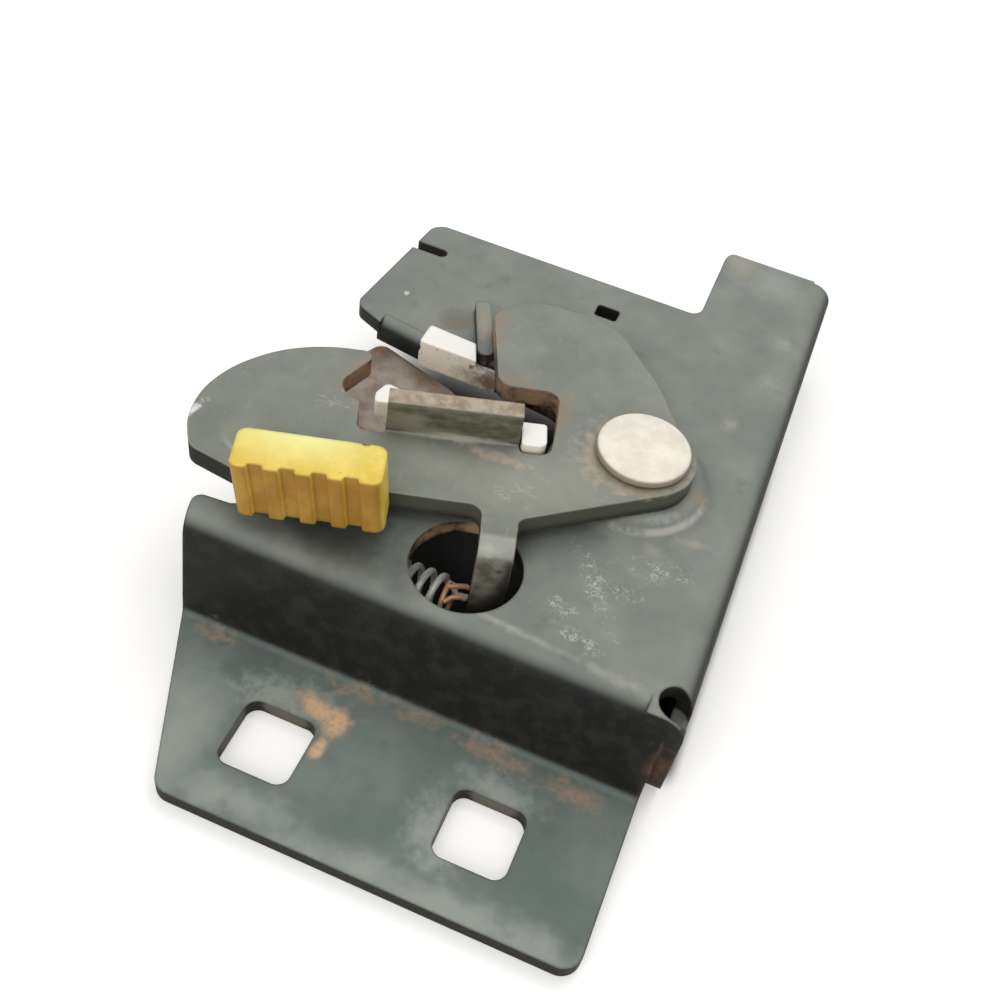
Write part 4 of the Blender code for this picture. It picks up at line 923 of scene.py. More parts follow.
def wire_hook(hole, thickness, coil_x, angle=0.0):
    """Wire from a coil's end along the far face of a hole's wall, through it and out at the near face."""
    side = math.copysign(1 * MM, coil_x - hole[0])
    bend = SAFETY_WIRE_RADIUS + CLEAR
    far, near = thickness / 2, -thickness / 2
    turn = Matrix.Rotation(angle, 2)
    passes = [(4 * side, far + 1.6 * bend), (side, far + 1.2 * bend), (0, far + 0.4 * bend),
              (0, near - 0.6 * bend), (-0.8 * side, near - 1.4 * bend)]
    hook = [(coil_x - side, SAFETY_Y + SAFETY_COIL_RADIUS - 0.2 * MM, SAFETY_Z)]
    for place in passes:
        hook.append((*(Vector(hole) + turn @ Vector(place)), SAFETY_Z))
    return hook


def safety_spring():
    """Extension spring between the lever's tail and the anchor ear, with a hook at each end."""
    length = SAFETY_TURNS * SAFETY_PITCH
    turns = helix(SAFETY_COIL_RADIUS, SAFETY_TURNS, SAFETY_STEPS, length)
    coil = [(SAFETY_START_X - along, SAFETY_Y + y, SAFETY_Z + z) for along, y, z in turns]
    tail_hook = wire_hook(tail_hole(), LEVER_THICK, SAFETY_START_X, ARM_ANGLE)
    ear_hook = wire_hook((ANCHOR_X, ANCHOR_Y - SHEET / 2), SHEET, SAFETY_START_X - length)
    return wire(tail_hook[::-1] + coil + ear_hook, SAFETY_WIRE_RADIUS)


# Rivet stack

def pivot_rivet():
    """Large-headed rivet, with its tail formed over the back washer."""
    head_bottom = LEVER_TOP + CLEAR
    head_top = head_bottom + RIVET_HEAD_THICK
    tail_top = WASHER_BOTTOM - CLEAR
    tail_bottom = tail_top - RIVET_TAIL_THICK
    rim = 0.5 * MM
    return turned([
        (0, head_top - 0.12 * MM), (0.5 * MM, head_top - 0.12 * MM), (1.1 * MM, head_top),
        (RIVET_HEAD_RADIUS - rim, head_top), (RIVET_HEAD_RADIUS - 0.15 * MM, head_top - 0.2 * MM),
        (RIVET_HEAD_RADIUS, head_top - rim), (RIVET_HEAD_RADIUS, head_bottom + 0.3 * MM),
        (RIVET_HEAD_RADIUS - 0.3 * MM, head_bottom), (RIVET_SHANK_RADIUS, head_bottom),
        (RIVET_SHANK_RADIUS, tail_top), (RIVET_TAIL_RADIUS, tail_top),
        (RIVET_TAIL_RADIUS, tail_top - 0.6 * RIVET_TAIL_THICK),
        (RIVET_TAIL_RADIUS - 1.2 * MM, tail_bottom), (0, tail_bottom)])


def ring(outer, top, bottom):
    """Plain ring on the rivet's shank."""
    return turned([(BORE_RADIUS, top), (outer, top), (outer, bottom), (BORE_RADIUS, bottom)])


def spring_spool():
    """Flanged bush that carries the catch's torsion spring."""
    top = CATCH_BOTTOM - CLEAR
    return ring(SPOOL_RADIUS, top, SPOOL_BOTTOM)


# Surfaces

BEVEL_SAMPLES = 4
CREASE_SAMPLES = 6
RUST = (0.46, 0.25, 0.125)
DARK_RUST = (0.22, 0.12, 0.07)


class Nodes:
    """A node tree, with short forms of the nodes that are used most."""

    def __init__(self, tree):
        self.tree = tree

    def new(self, kind, **settings):
        node = self.tree.nodes.new(kind)
        for key, value in settings.items():
            setattr(node, key, value)
        return node

    def put(self, socket, value):
        if isinstance(value, bpy.types.NodeSocket):
            self.tree.links.new(value, socket)
        elif isinstance(value, tuple) and len(value) == 3 and socket.type == "RGBA":
            socket.default_value = (*value, 1)
        else:
            socket.default_value = value

    def fill(self, node, *values):
        """Put values into a node's first sockets, in their order."""
        for socket, value in zip(node.inputs, values):
            self.put(socket, value)
        return node.outputs[0]

    def maths(self, operation, *values):
        node = self.new("ShaderNodeMath", operation=operation)
        node.use_clamp = operation in ("MULTIPLY", "ADD")
        return self.fill(node, *values)

    def times(self, *masks):
        """Product of masks and plain shares."""
        total = masks[0]
        for mask in masks[1:]:
            total = self.maths("MULTIPLY", total, mask)
        return total

    def length(self, vector):
        node = self.new("ShaderNodeVectorMath", operation="LENGTH")
        self.fill(node, vector)
        return node.outputs["Value"]

    def axis(self, vector, index):
        split = self.new("ShaderNodeSeparateXYZ")
        self.fill(split, vector)
        return split.outputs[index]

    def ramp(self, value, low, high, start=0.0, end=1.0):
        """Smooth slope from start to end, as the value runs from low to high."""
        node = self.new("ShaderNodeMapRange", interpolation_type="SMOOTHSTEP")
        return self.fill(node, value, low, high, start, end)

    def blend(self, mask, under, over):
        """Mix of two colours."""
        node = self.new("ShaderNodeMix", data_type="RGBA")
        self.put(node.inputs["Factor"], mask)
        self.put(node.inputs[6], under)
        self.put(node.inputs[7], over)
        return node.outputs[2]

    def mix_shaders(self, share, first, second, target):
        """Mix of two shaders, handed on to the target socket."""
        self.put(target, self.fill(self.new("ShaderNodeMixShader"), share, first, second))


class Finish(Nodes):
    """A Principled material whose colour and roughness are built up in layers."""

    def __init__(self, name, colour, roughness, metallic=0.0, specular=0.5, soft_edge=0.5):
        self.material = bpy.data.materials.new(name)
        self.material.use_nodes = True
        super().__init__(self.material.node_tree)
        self.shader = self.tree.nodes["Principled BSDF"]
        self.shader.inputs["Specular IOR Level"].default_value = specular
        self.place = self.new("ShaderNodeTexCoord").outputs["Object"]
        self.flat = self.new("ShaderNodeNewGeometry").outputs["Normal"]
        self.normal = self.rounded_normal(soft_edge)
        self.bump = self.normal
        self.ragged = {}
        self.colour = colour
        self.roughness = roughness
        self.metallic = metallic

    def rounded_normal(self, radius):
        node = self.new("ShaderNodeBevel", samples=BEVEL_SAMPLES)
        node.inputs["Radius"].default_value = radius * MM
        return node.outputs[0]

    def noise(self, size, detail=4.0, roughness=0.6, stretch=(1, 1, 1), shift=0.0):
        """Noise whose features are about size millimetres across."""
        node = self.new("ShaderNodeTexNoise")
        mapping = self.new("ShaderNodeMapping")
        self.put(mapping.inputs["Vector"], self.place)
        mapping.inputs["Scale"].default_value = stretch
        mapping.inputs["Location"].default_value = (shift, shift * 0.7, shift * 0.3)
        self.put(node.inputs["Vector"], mapping.outputs[0])
        node.inputs["Scale"].default_value = 1 / (size * MM)
        node.inputs["Detail"].default_value = detail
        node.inputs["Roughness"].default_value = roughness
        return node.outputs["Fac"]

    def mottle(self, size, low, high, start=0.0, end=1.0, **noise):
        """Noise, spread out between two of its levels."""
        return self.ramp(self.noise(size, **noise), low, high, start, end)

    def spot(self, centre, radii, turn=0.0, ragged=0.3, soft=1.0, grain=2):
        """Patch with a ragged edge, 1 at its middle and 0 beyond its radii.

        Lengths are in millimetres. The turn is in degrees, ragged says how far the edge wanders, soft how
        much of the radius the edge takes up, and grain how large its waves are.
        """
        if grain not in self.ragged:
            self.ragged[grain] = self.mottle(grain, 0.25, 0.75, -1.0, 1.0, detail=3)
        mapping = self.new("ShaderNodeMapping", vector_type="TEXTURE")
        self.put(mapping.inputs["Vector"], self.place)
        mapping.inputs["Location"].default_value = [value * MM for value in centre]
        mapping.inputs["Rotation"].default_value = (0, 0, math.radians(turn))
        mapping.inputs["Scale"].default_value = [value * MM for value in radii]
        away = self.length(mapping.outputs[0])
        total = self.maths("MULTIPLY_ADD", self.ragged[grain], ragged, away)
        return self.ramp(total, 1.0, 1.0 - soft)

    def several(self, spots):
        """Union of patches, each given as the values of one spot."""
        masks = [self.spot(*one) for one in spots]
        total = masks[0]
        for mask in masks[1:]:
            total = self.maths("MAXIMUM", total, mask)
        return total

    def edges(self, radius, low=0.02, high=0.25):
        """1 on sharp corners, 0 on flat faces."""
        dot = self.new("ShaderNodeVectorMath", operation="DOT_PRODUCT")
        self.fill(dot, self.rounded_normal(radius), self.flat)
        return self.ramp(self.maths("SUBTRACT", 1.0, dot.outputs["Value"]), low, high)

    def hollows(self, distance):
        """1 in creases and corners, where shade falls and dirt settles."""
        node = self.new("ShaderNodeAmbientOcclusion", samples=CREASE_SAMPLES)
        node.inputs["Distance"].default_value = distance * MM
        return self.ramp(node.outputs["AO"], 0.75, 0.3)

    def veins(self, size, width, **settings):
        """Network of fine lines."""
        away = self.maths("ABSOLUTE", self.maths("SUBTRACT", self.noise(size, **settings), 0.5))
        return self.ramp(away, width, width * 0.4)

    def facing(self, index, low, high):
        """How far the surface faces along an axis: 0 at the first share, 1 at the second."""
        return self.ramp(self.axis(self.normal, index), low, high)

    def height(self, low, high):
        """0 at the first height, 1 at the second."""
        return self.ramp(self.axis(self.place, 2), low, high)

    def blend_value(self, mask, under, over):
        node = self.new("ShaderNodeMix", data_type="FLOAT")
        self.put(node.inputs["Factor"], mask)
        self.put(node.inputs[2], under)
        self.put(node.inputs[3], over)
        return node.outputs[0]

    def layer(self, masks, colour, roughness=None, metallic=None):
        """Lay a colour over the surface where all of the masks are set."""
        mask = self.times(*masks)
        self.colour = self.blend(mask, self.colour, colour)
        if roughness is not None:
            self.roughness = self.blend_value(mask, self.roughness, roughness)
        if metallic is not None:
            self.metallic = self.blend_value(mask, self.metallic, metallic)

    def relief(self, height, depth):
        """Bump of a depth in millimetres."""
        node = self.new("ShaderNodeBump")
        node.inputs["Distance"].default_value = depth * MM
        self.put(node.inputs["Height"], height)
        self.put(node.inputs["Normal"], self.bump)
        self.bump = node.outputs[0]

    def done(self):
        inputs = self.shader.inputs
        self.put(inputs["Base Color"], self.colour)
        self.put(inputs["Roughness"], self.roughness)
        self.put(inputs["Metallic"], self.metallic)
        self.put(inputs["Normal"], self.bump)
        return self.material


def rusty(finish, masks):
    """Brown rust that varies in tone and is rough to the light."""
    shade = finish.mottle(1.6, 0.3, 0.65, detail=5)
    finish.layer(masks, finish.blend(shade, DARK_RUST, RUST), 0.85)


def pan_paint():
    """Worn dark paint: stains, dust and rust along the folds, chalky scratches; painted sheen on faces
    that look up, painted highlights on the fold and the boss, painted shade under the grip, in the dimple
    and in creases, and painted light on the square holes' walls.
    """
    finish = Finish("dark_paint", (0.0105, 0.012, 0.011), 0.45, specular=0.2, soft_edge=0.7)
    cloud = finish.mottle(14, 0.3, 0.7, detail=3)
    # Painted sheen: faces that look up get a lighter colour in place of the light they reflect; on the
    # flange it is darker.
    top_sheen = finish.blend(cloud, (0.185, 0.209, 0.189), (0.252, 0.273, 0.245))
    grimy = finish.mottle(3.4, 0.42, 0.68, 0.0, 0.8, detail=5, shift=0.6)
    finish.layer([grimy], (0.026, 0.024, 0.019), 0.6)
    dots = finish.mottle(0.55, 0.72, 0.78, 0.0, 0.6, detail=2, shift=0.35)
    finish.layer([dots], (0.16, 0.15, 0.12), 0.6)
    high = finish.height(-10 * MM, -8 * MM)
    finish.layer([high, finish.facing(2, 0.5, 0.93)], top_sheen)
    low = finish.height(-12.5 * MM, -17 * MM)
    level = finish.facing(2, 0.5, 0.97)
    flange_sheen = finish.blend(cloud, (0.126, 0.162, 0.148), (0.18, 0.216, 0.20))
    finish.layer([low, level], flange_sheen)
    # Lighter patches of the painted sheen on the flange.
    pale = finish.several([
        ((-47, -61, -18), (10, 18, 4), 8.0, 0.2, 1.0, 8),
        ((-36, -50.0, -18), (13, 5, 4), 12.0),
        ((-34, -67.6, -18), (16, 5, 4), 0.0, 0.3, 1.0, 8),
        ((-6.5, -60.6, -18), (6.0, 9.5, 4), 20.0, 0.25),
        ((-1.0, -50.4, -18), (9.0, 4.0, 4), -5.0, 0.25),
        ((-4, -69.4, -18), (42, 4.4, 4), 0.0, 0.3, 1.0, 8)])
    finish.layer([pale, level, 0.9], (0.325, 0.355, 0.325))
    shade = finish.spot((-38, -32, 0), (26, 8.5, 5), -4.0, 0.2, 1.0, 8)
    finish.layer([shade, 0.85], (0.045, 0.05, 0.044))
    stain = finish.mottle(5, 0.55, 0.75, 0.0, 0.3, detail=5, shift=0.3)
    finish.layer([stain, level], (0.09, 0.098, 0.085), 0.5)
    # Painted highlight along the fold from plate to web.
    fold_highlight = finish.several([
        ((-8, -35.8, -0.4), (15, 1.0, 1.6), -4.0),
        ((9, -37.0, -0.4), (10, 1.3, 1.6), -4.0)])
    finish.layer([fold_highlight, 0.65], (0.40, 0.40, 0.355), 0.4)
    # Painted highlights on the boss: a thin lit ring round its foot on the lit side, and a glint on its
    # shoulder.
    flatten = finish.new("ShaderNodeVectorMath", operation="MULTIPLY")
    distance = finish.length(finish.fill(flatten, finish.place, (1, 1, 0)))
    highlight_ring = finish.times(finish.ramp(distance, 10.9 * MM, 11.6 * MM),
                             finish.ramp(distance, 12.5 * MM, 11.8 * MM))
    lit_side = finish.spot((6.5, -6.5, 0), (10, 10, 6), 0.0, 0.25, 0.6)
    finish.layer([highlight_ring, lit_side, 0.85], (0.47, 0.47, 0.42), 0.35)
    shine = finish.spot((5.8, -7.4, 1.2), (5.6, 1.7, 2.0), 30.0, 0.25)
    finish.layer([shine, 0.8], (0.48, 0.50, 0.47), 0.35)
    # Painted shade in the dimple.
    pressed = finish.spot((DIMPLE_X / MM, DIMPLE_Y / MM, 0), (3.4, 3.2, 2), 0.0, 0.1, 0.6)
    finish.layer([pressed, 0.6], (0.085, 0.078, 0.06))
    ridge = finish.spot((-34.0, 19.6, 1.6), (1.6, 7.4, 1.4), 24.0, 0.15, 0.8)
    finish.layer([ridge, 0.8], (0.35, 0.30, 0.23), 0.55)
    wall_end = finish.spot((19.5, -42.5, -12), (3.0, 4.5, 8))
    finish.layer([wall_end, 0.9], (0.13, 0.065, 0.04), 0.8)
    dust = finish.several([
        ((-26.5, -44.4, -17.2), (8, 1.8, 3), 2.0, 0.35),
        ((-16, -44.6, -17.6), (6, 1.6, 3), 0.0, 0.35),
        ((-4, -45.2, -17.8), (9, 2.6, 3), -4.0, 0.35),
        ((9, -46.0, -18), (7, 2.8, 3), -4.0, 0.35),
        ((-50, -44.5, -17.4), (5, 2.0, 3), 0.0, 0.35)])
    grains = finish.mottle(0.8, 0.3, 0.6, 0.35, 1.0, detail=4, shift=0.9)
    finish.layer([dust, grains], (0.36, 0.275, 0.20), 0.75)
    rust = finish.several([
        ((-30.2, -49.4, -18), (6.6, 2.6, 3), -16.0, 0.1),
        ((-26.8, -50.4, -18), (3.6, 4.4, 3), 24.0, 0.1),
        ((-27.2, -55.4, -18), (1.8, 3.4, 3), -10.0, 0.1)])
    speckle = finish.ramp(grains, 0.35, 1.0, 0.55, 1.0)
    finish.layer([finish.ramp(rust, 0.0, 0.5), 0.6], (0.30, 0.27, 0.22), 0.7)
    finish.layer([finish.ramp(rust, 0.1, 0.9), speckle], (0.68, 0.45, 0.27), 0.8)
    # Painted light on the square holes' walls, as bounced up from the pale floor.
    hole_wall_light = finish.several([
        ((-34.2, -57.5, -19), (7.0, 7.0, 4), 0.0, 0.0, 0.1),
        ((-1.0, -57.5, -19), (7.0, 7.0, 4), 0.0, 0.0, 0.1)])
    finish.layer([hole_wall_light, finish.facing(2, 0.6, 0.2)], (0.15, 0.135, 0.11))
    hole_edge = finish.spot((-27.2, -53.5, -18.6), (2.4, 7.0, 3))
    wall_only = finish.facing(2, 0.98, 0.6)
    rusty(finish, [hole_edge, wall_only])
    window = finish.several([
        ((-23.0, -25.5, -1.4), (5.0, 6.0, 2.2), 0.0, 0.2, 0.7),
        ((-18.0, -20.6, -1.4), (6.0, 2.4, 2.2), 0.0, 0.2, 0.7)])
    finish.layer([window, wall_only], (0.44, 0.29, 0.18), 0.8)
    seat = finish.several([
        ((-15.5, 4.0, 0), (4.6, 5.2, 8.0), 0.0, 0.3, 0.7),
        ((-20.0, 7.4, 0), (6.6, 2.8, 5.0), 0.0, 0.3, 0.7),
        ((-28.5, 12.0, 0.5), (3.4, 4.6, 3.0), 0.0, 0.35, 0.7)])
    rusty(finish, [seat, 0.75, wall_only])
    halo = finish.several([
        ((-13.8, 3.0, 0), (4.4, 6.0, 2)),
        ((-22.0, 9.6, 0), (8.0, 3.0, 2), -14.0),
        ((10.0, -0.6, 1), (3.2, 2.6, 3)),
        ((-39.9, 21.4, 0), (5.0, 3.6, 2), 0.0, 0.4),
        ((-31.0, 20.0, 1), (2.0, 7.0, 3), 24.0)])
    tan = finish.several([
        ((2.6, 64.0, 0), (5.0, 8.0, 3), 0.0, 0.2, 1.0, 8),
        ((6.6, -12.8, 0), (2.4, 1.8, 1)),
        ((12.2, -8.4, 0), (3.6, 1.3, 1), 10.0),
        ((11.0, 19.9, 0), (2.2, 2.8, 1))])
    finish.layer([tan, 0.6], (0.40, 0.365, 0.28))
    fleck = finish.several([
        ((14.6, 45.1, 0), (2.4, 3.0, 1)),
        ((14.5, 33.9, 0), (2.4, 3.0, 1)),
        ((9.0, 62.0, 0), (6.0, 9.0, 1), 0.0, 0.2, 1.0, 8)])
    finish.layer([fleck, 0.5], (0.36, 0.385, 0.35))
    finish.layer([halo, finish.ramp(grains, 0.35, 1.0, 0.3, 0.65)], (0.33, 0.245, 0.175), 0.7)
    # Painted shade in creases and corners, partly grime.
    crease_shade_and_grime = finish.hollows(5.0)
    finish.layer([crease_shade_and_grime, 0.4], (0.045, 0.038, 0.03), 0.7)
    chalk = finish.several([
        ((1.4, -23.6, 0), (10.0, 2.2, 1.5), -55.0, 0.4, 0.8),
        ((8.6, -16.4, 0), (7.5, 2.6, 1.5), 10.0, 0.4, 0.9),
        ((6.0, -22.0, 0), (4.0, 3.0, 1.5), 0.0, 0.4),
        ((-2.6, -29.0, 0), (4.0, 2.4, 1.5), 0.0, 0.4),
        ((2.0, -33.4, 0), (6.5, 2.0, 1.5), -10.0, 0.4)])
    veins = finish.veins(1.5, 0.026, detail=3, roughness=0.55, shift=0.11)
    flecks = finish.mottle(0.5, 0.53, 0.62, detail=3, roughness=0.6, shift=0.5)
    where = finish.mottle(2.6, 0.38, 0.55, detail=3, shift=0.3)
    marks = finish.times(finish.maths("MAXIMUM", veins, finish.times(flecks, 0.8)), where)
    finish.layer([chalk, marks], (0.50, 0.52, 0.48), 0.7)
    nick = finish.spot((-50.4, 23.4, 0), (0.55, 0.7, 0.5), 0.0, 0.3, 0.7)
    finish.layer([nick], (0.55, 0.56, 0.53), 0.5)
    worn = finish.times(finish.edges(0.7), finish.mottle(2.4, 0.4, 0.62, detail=4, shift=0.2))
    finish.layer([worn, 0.45], (0.26, 0.20, 0.15), 0.6)
    finish.relief(finish.noise(0.9, detail=4), 0.02)
    return finish.done()


def lever_paint():
    """Worn paint of the safety lever: rust at hook and slot, worn rims; painted sheen on its faces,
    painted highlights on the tail's bend, the upstand's foot and the front rims, and painted shade
    underneath and in creases.
    """
    finish = Finish("lever_paint", (0.092, 0.094, 0.074), 0.5, specular=0.2, soft_edge=0.5)
    cloud = finish.mottle(9, 0.3, 0.7, detail=3)
    # Painted sheen: faces that look up get a lighter colour in place of the light they reflect.
    top_sheen = finish.blend(cloud, (0.195, 0.216, 0.19), (0.253, 0.269, 0.235))
    level = finish.facing(2, 0.3, 0.95)
    finish.layer([level], top_sheen)
    warm = finish.several([
        ((-12, -13, 5.9), (20, 9, 3), 30.0, 0.25, 1.0, 8),
        ((-30, -17, 5.9), (12, 5, 3), 0.0, 0.25, 1.0, 8)])
    finish.layer([warm, level, 0.75], (0.33, 0.33, 0.28))
    # Painted shade on the lever's underside and the lower rims of its sides.
    under = finish.height(LEVER_BOTTOM + 1.6 * MM, LEVER_BOTTOM)
    finish.layer([under, finish.facing(2, 0.4, 0.1)], (0.035, 0.035, 0.028))
    fine = finish.mottle(0.9, 0.56, 0.74, 0.0, 0.35, detail=5, stretch=(1, 0.35, 1))
    finish.layer([fine, level], (0.34, 0.345, 0.30), 0.5)
    swirl = finish.several([
        ((-14.5, -17.0, 5.9), (4.0, 3.2, 1.0), 30.0, 0.5, 0.6),
        ((-2.0, -11.0, 5.9), (5.0, 1.6, 1.0), 35.0, 0.5, 0.6),
        ((-46.0, -12.0, 5.9), (5.0, 3.0, 1.0), 20.0, 0.5, 0.6)])
    thread = finish.veins(2.4, 0.02, detail=3, stretch=(0.4, 1.0, 1), shift=0.7)
    finish.layer([swirl, thread, 0.4], (0.48, 0.47, 0.40), 0.5)
    hook = finish.several([
        ((-46.5, -5.0, 4.5), (3.4, 7.4, 4.0), -15.0, 0.3, 0.7),
        ((-42.0, -11.0, 4.5), (4.4, 2.6, 4.0), 0.0, 0.3, 0.7),
        ((-14.6, 2.0, 4.5), (3.2, 6.4, 4.0), 0.0, 0.3, 0.7),
        ((-22.0, 5.5, 4.5), (7.0, 2.6, 4.0), 0.0, 0.3, 0.7),
        ((-31.5, 18.0, 4.5), (3.0, 8.0, 4.0), 24.0, 0.3, 0.7)])
    rusty(finish, [hook, finish.facing(2, 0.995, 0.7)])
    finish.layer([hook, 0.5], (0.33, 0.235, 0.16), 0.7)
    around = finish.several([
        ((-0.8, -1.6, 5.9), (11.2, 9.6, 1.5), 10.0, 0.2, 0.5),
        ((-21.0, -11.5, 5.9), (9.0, 1.5, 1.5), -4.0, 0.5, 0.8)])
    finish.layer([around, 0.75], (0.46, 0.385, 0.295), 0.6)
    nose = finish.spot((-64, -24, 4), (16, 20, 12), 0.0, 0.1, 0.4, 8)
    finish.layer([nose, finish.facing(2, 0.8, 0.4)], (0.03, 0.032, 0.027), 0.9)
    # Painted sheen on the front faces of the upstand and lug, with an olive cast as a painted reflection
    # of the yellow grip, over mottled paint.
    rib = finish.height(LEVER_TOP + 0.2 * MM, LEVER_TOP + 0.8 * MM)
    lug_cloud = finish.mottle(3.0, 0.35, 0.65, detail=5, stretch=(0.4, 0.4, 1))
    lug_face = finish.blend(lug_cloud, (0.085, 0.09, 0.062), (0.25, 0.24, 0.175))
    finish.layer([rib, finish.facing(1, -0.3, -0.8)], lug_face)
    top_cloud = finish.mottle(2.4, 0.35, 0.65, detail=5)
    lug_top = finish.blend(top_cloud, (0.30, 0.24, 0.17), (0.48, 0.42, 0.32))
    finish.layer([rib, finish.facing(2, 0.3, 0.9)], lug_top, 0.6)
    # Painted highlight along the upstand's foot.
    foot = finish.spot((-27.2, -11.1, LEVER_TOP / MM + 0.2), (11.0, 0.75, 1.0), 20.4, 0.15, 0.8)
    finish.layer([foot, 0.8], (0.56, 0.55, 0.48), 0.35)
    # Painted sheen on the tail, lighter than the lever's other sides.
    tail = finish.spot((-14.6, -30.4, 0), (5.0, 4.4, 12), 17.6, 0.1, 0.5, 8)
    tail_cloud = finish.mottle(2.6, 0.35, 0.65, detail=5)
    tail_sheen = finish.blend(tail_cloud, (0.14, 0.13, 0.105), (0.29, 0.275, 0.23))
    finish.layer([tail], tail_sheen)
    chip = finish.spot((-64.6, -24.4, 5.0), (1.2, 3.6, 3.0), -10.0, 0.4, 0.7)
    finish.layer([chip], (0.85, 0.84, 0.78), 0.5)
    # Painted highlight on the tail's bend.
    bend = finish.spot((-14.0, -27.9, 4.8), (3.4, 1.6, 1.5), 17.0, 0.3, 0.8)
    finish.layer([bend, 0.85], (0.55, 0.55, 0.48), roughness=0.3, metallic=0.2)
    pit = finish.spot((-12.4, -28.3, 1.0), (0.8, 0.9, 0.8), 0.0, 0.2, 0.7)
    finish.layer([pit, 0.8], (0.05, 0.045, 0.04), 0.8)
    # Painted shade in creases and corners, partly grime.
    crease_shade_and_grime = finish.hollows(4.0)
    finish.layer([crease_shade_and_grime, 0.35], (0.05, 0.042, 0.033), 0.7)
    # Painted highlight on the lever's front-facing rims.
    rim = finish.times(finish.facing(2, 0.99, 0.93), finish.facing(2, 0.25, 0.5))
    finish.layer([rim, finish.facing(1, -0.08, -0.25), 0.75], (0.42, 0.43, 0.38), 0.3)
    worn = finish.times(finish.edges(0.6), finish.mottle(2.2, 0.38, 0.6, detail=4))
    finish.layer([worn, 0.6], (0.38, 0.32, 0.25), 0.5)
    finish.relief(finish.noise(0.7, detail=4), 0.025)
    return finish.done()


def grip_moulding():
    """Soiled yellow plastic, with a painted highlight on top, painted shade on its front, and painted
    shade in its grooves.
    """
    finish = Finish("yellow_moulding", (0.86, 0.66, 0.09), 0.45, specular=0.4, soft_edge=0.8)
    cloud = finish.mottle(5, 0.35, 0.7, detail=4)
    # Painted highlight on the top.
    top_highlight = finish.spot((-45.0, -25.5, 14), (17, 12, 6), 17.6, 0.1, 1.0, 8)
    warm = finish.blend(cloud, (0.78, 0.55, 0.06), (0.90, 0.70, 0.13))
    finish.colour = finish.blend(top_highlight, warm, (1.0, 1.0, 0.42))
    # Painted shade: the front faces get a darker, browner copy of the yellow.
    front = finish.facing(1, -0.2, -0.6)
    finish.layer([front], finish.blend(cloud, (0.38, 0.195, 0.025), (0.50, 0.29, 0.045)))
    nick = finish.spot((-35.7, -25.5, 13.8), (1.0, 0.8, 1.0), 0.0, 0.3, 0.7)
    finish.layer([nick], (0.08, 0.05, 0.03), 0.7)
    # Painted shade in the grooves and creases, partly grime.
    finish.layer([finish.hollows(1.6), 0.75], (0.20, 0.11, 0.02), 0.7)
    dirt = finish.mottle(1.3, 0.63, 0.73, 0.0, 0.6, detail=7, shift=0.4)
    finish.layer([dirt], (0.30, 0.19, 0.05), 0.7)
    finish.relief(finish.noise(0.6, detail=4), 0.03)
    return finish.done()


def white_moulding():
    """Soiled white plastic, with a painted shade tone on its front faces and painted shade in its creases.
    """
    finish = Finish("white_moulding", (0.95, 0.94, 0.90), 0.45, specular=0.4)
    front = finish.facing(1, -0.4, -0.9)
    soil = finish.mottle(2.2, 0.5, 0.7, 0.0, 0.5, detail=5, shift=0.5)
    finish.layer([soil, finish.facing(2, 0.95, 0.5)], (0.55, 0.45, 0.33), 0.6)
    # Painted shade: front faces get a warmer, beige tone.
    finish.layer([front, 0.8], (1.0, 0.90, 0.74))
    specks = finish.times(front, finish.mottle(0.9, 0.62, 0.72, detail=3, shift=0.9))
    finish.layer([specks, 0.6], (0.20, 0.15, 0.10), 0.7)
    stain = finish.spot((-31.5, 11.0, -2.0), (6.0, 3.0, 2.6))
    finish.layer([stain, 0.85], (0.30, 0.20, 0.125), 0.7)
    tongue = finish.spot((-28.4, 11.4, -1.6), (5.0, 3.0, 4.0), 0.0, 0.3, 0.7)
    finish.layer([tongue, 0.75], (0.22, 0.14, 0.08), 0.8)
    # Painted shade in creases, partly grime.
    finish.layer([finish.hollows(1.2), 0.4], (0.20, 0.14, 0.09), 0.7)
    finish.relief(finish.noise(0.8, detail=4), 0.02)
    return finish.done()


def zinc_plate():
    """Dull plating, with painted shade on its sides and in its creases."""
    finish = Finish("zinc", (0.62, 0.58, 0.50), 0.6, metallic=0.15, soft_edge=0.3)
    cloud = finish.mottle(3, 0.3, 0.7, detail=6)
    finish.colour = finish.blend(cloud, (0.74, 0.69, 0.585), (0.87, 0.82, 0.715))
    # Painted shade on the sides of the rivet's head and rings.
    finish.layer([finish.facing(2, 0.9, 0.4)], (0.33, 0.28, 0.22), 0.6)
    finish.layer([finish.mottle(0.7, 0.62, 0.7, 0.0, 0.2, detail=5, shift=0.8)], (0.45, 0.38, 0.30))
    # Painted shade in creases.
    finish.layer([finish.hollows(2.0), 0.7], (0.12, 0.085, 0.06), 0.8)
    finish.relief(finish.noise(0.6, detail=5), 0.03)
    return finish.done()


def catch_steel():
    """Browned bare steel, brighter at its corners."""
    finish = Finish("bare_steel", (0.20, 0.165, 0.135), 0.5, metallic=0.5)
    cloud = finish.mottle(4, 0.35, 0.65, detail=6)
    finish.colour = finish.blend(cloud, (0.17, 0.13, 0.10), (0.27, 0.235, 0.195))
    rusty(finish, [finish.mottle(3, 0.55, 0.7, 0.0, 0.8, detail=6, shift=0.6)])
    finish.layer([finish.edges(0.6), 0.5], (0.45, 0.40, 0.34), roughness=0.35, metallic=0.8)
    finish.relief(finish.noise(0.8, detail=5), 0.03)
    return finish.done()


def wire_finish(name, bright, dull):
    """Drawn wire, bright with dull brown patches."""
    finish = Finish(name, bright, 0.35, metallic=0.15, soft_edge=0.05)
    tarnish = finish.mottle(1.6, 0.55, 0.75, 0.0, 0.5, detail=5)
    finish.layer([tarnish], dull, 0.55)
    finish.relief(finish.noise(0.4, detail=3), 0.01)
    return finish.done()


# The pieces, each in place of its node

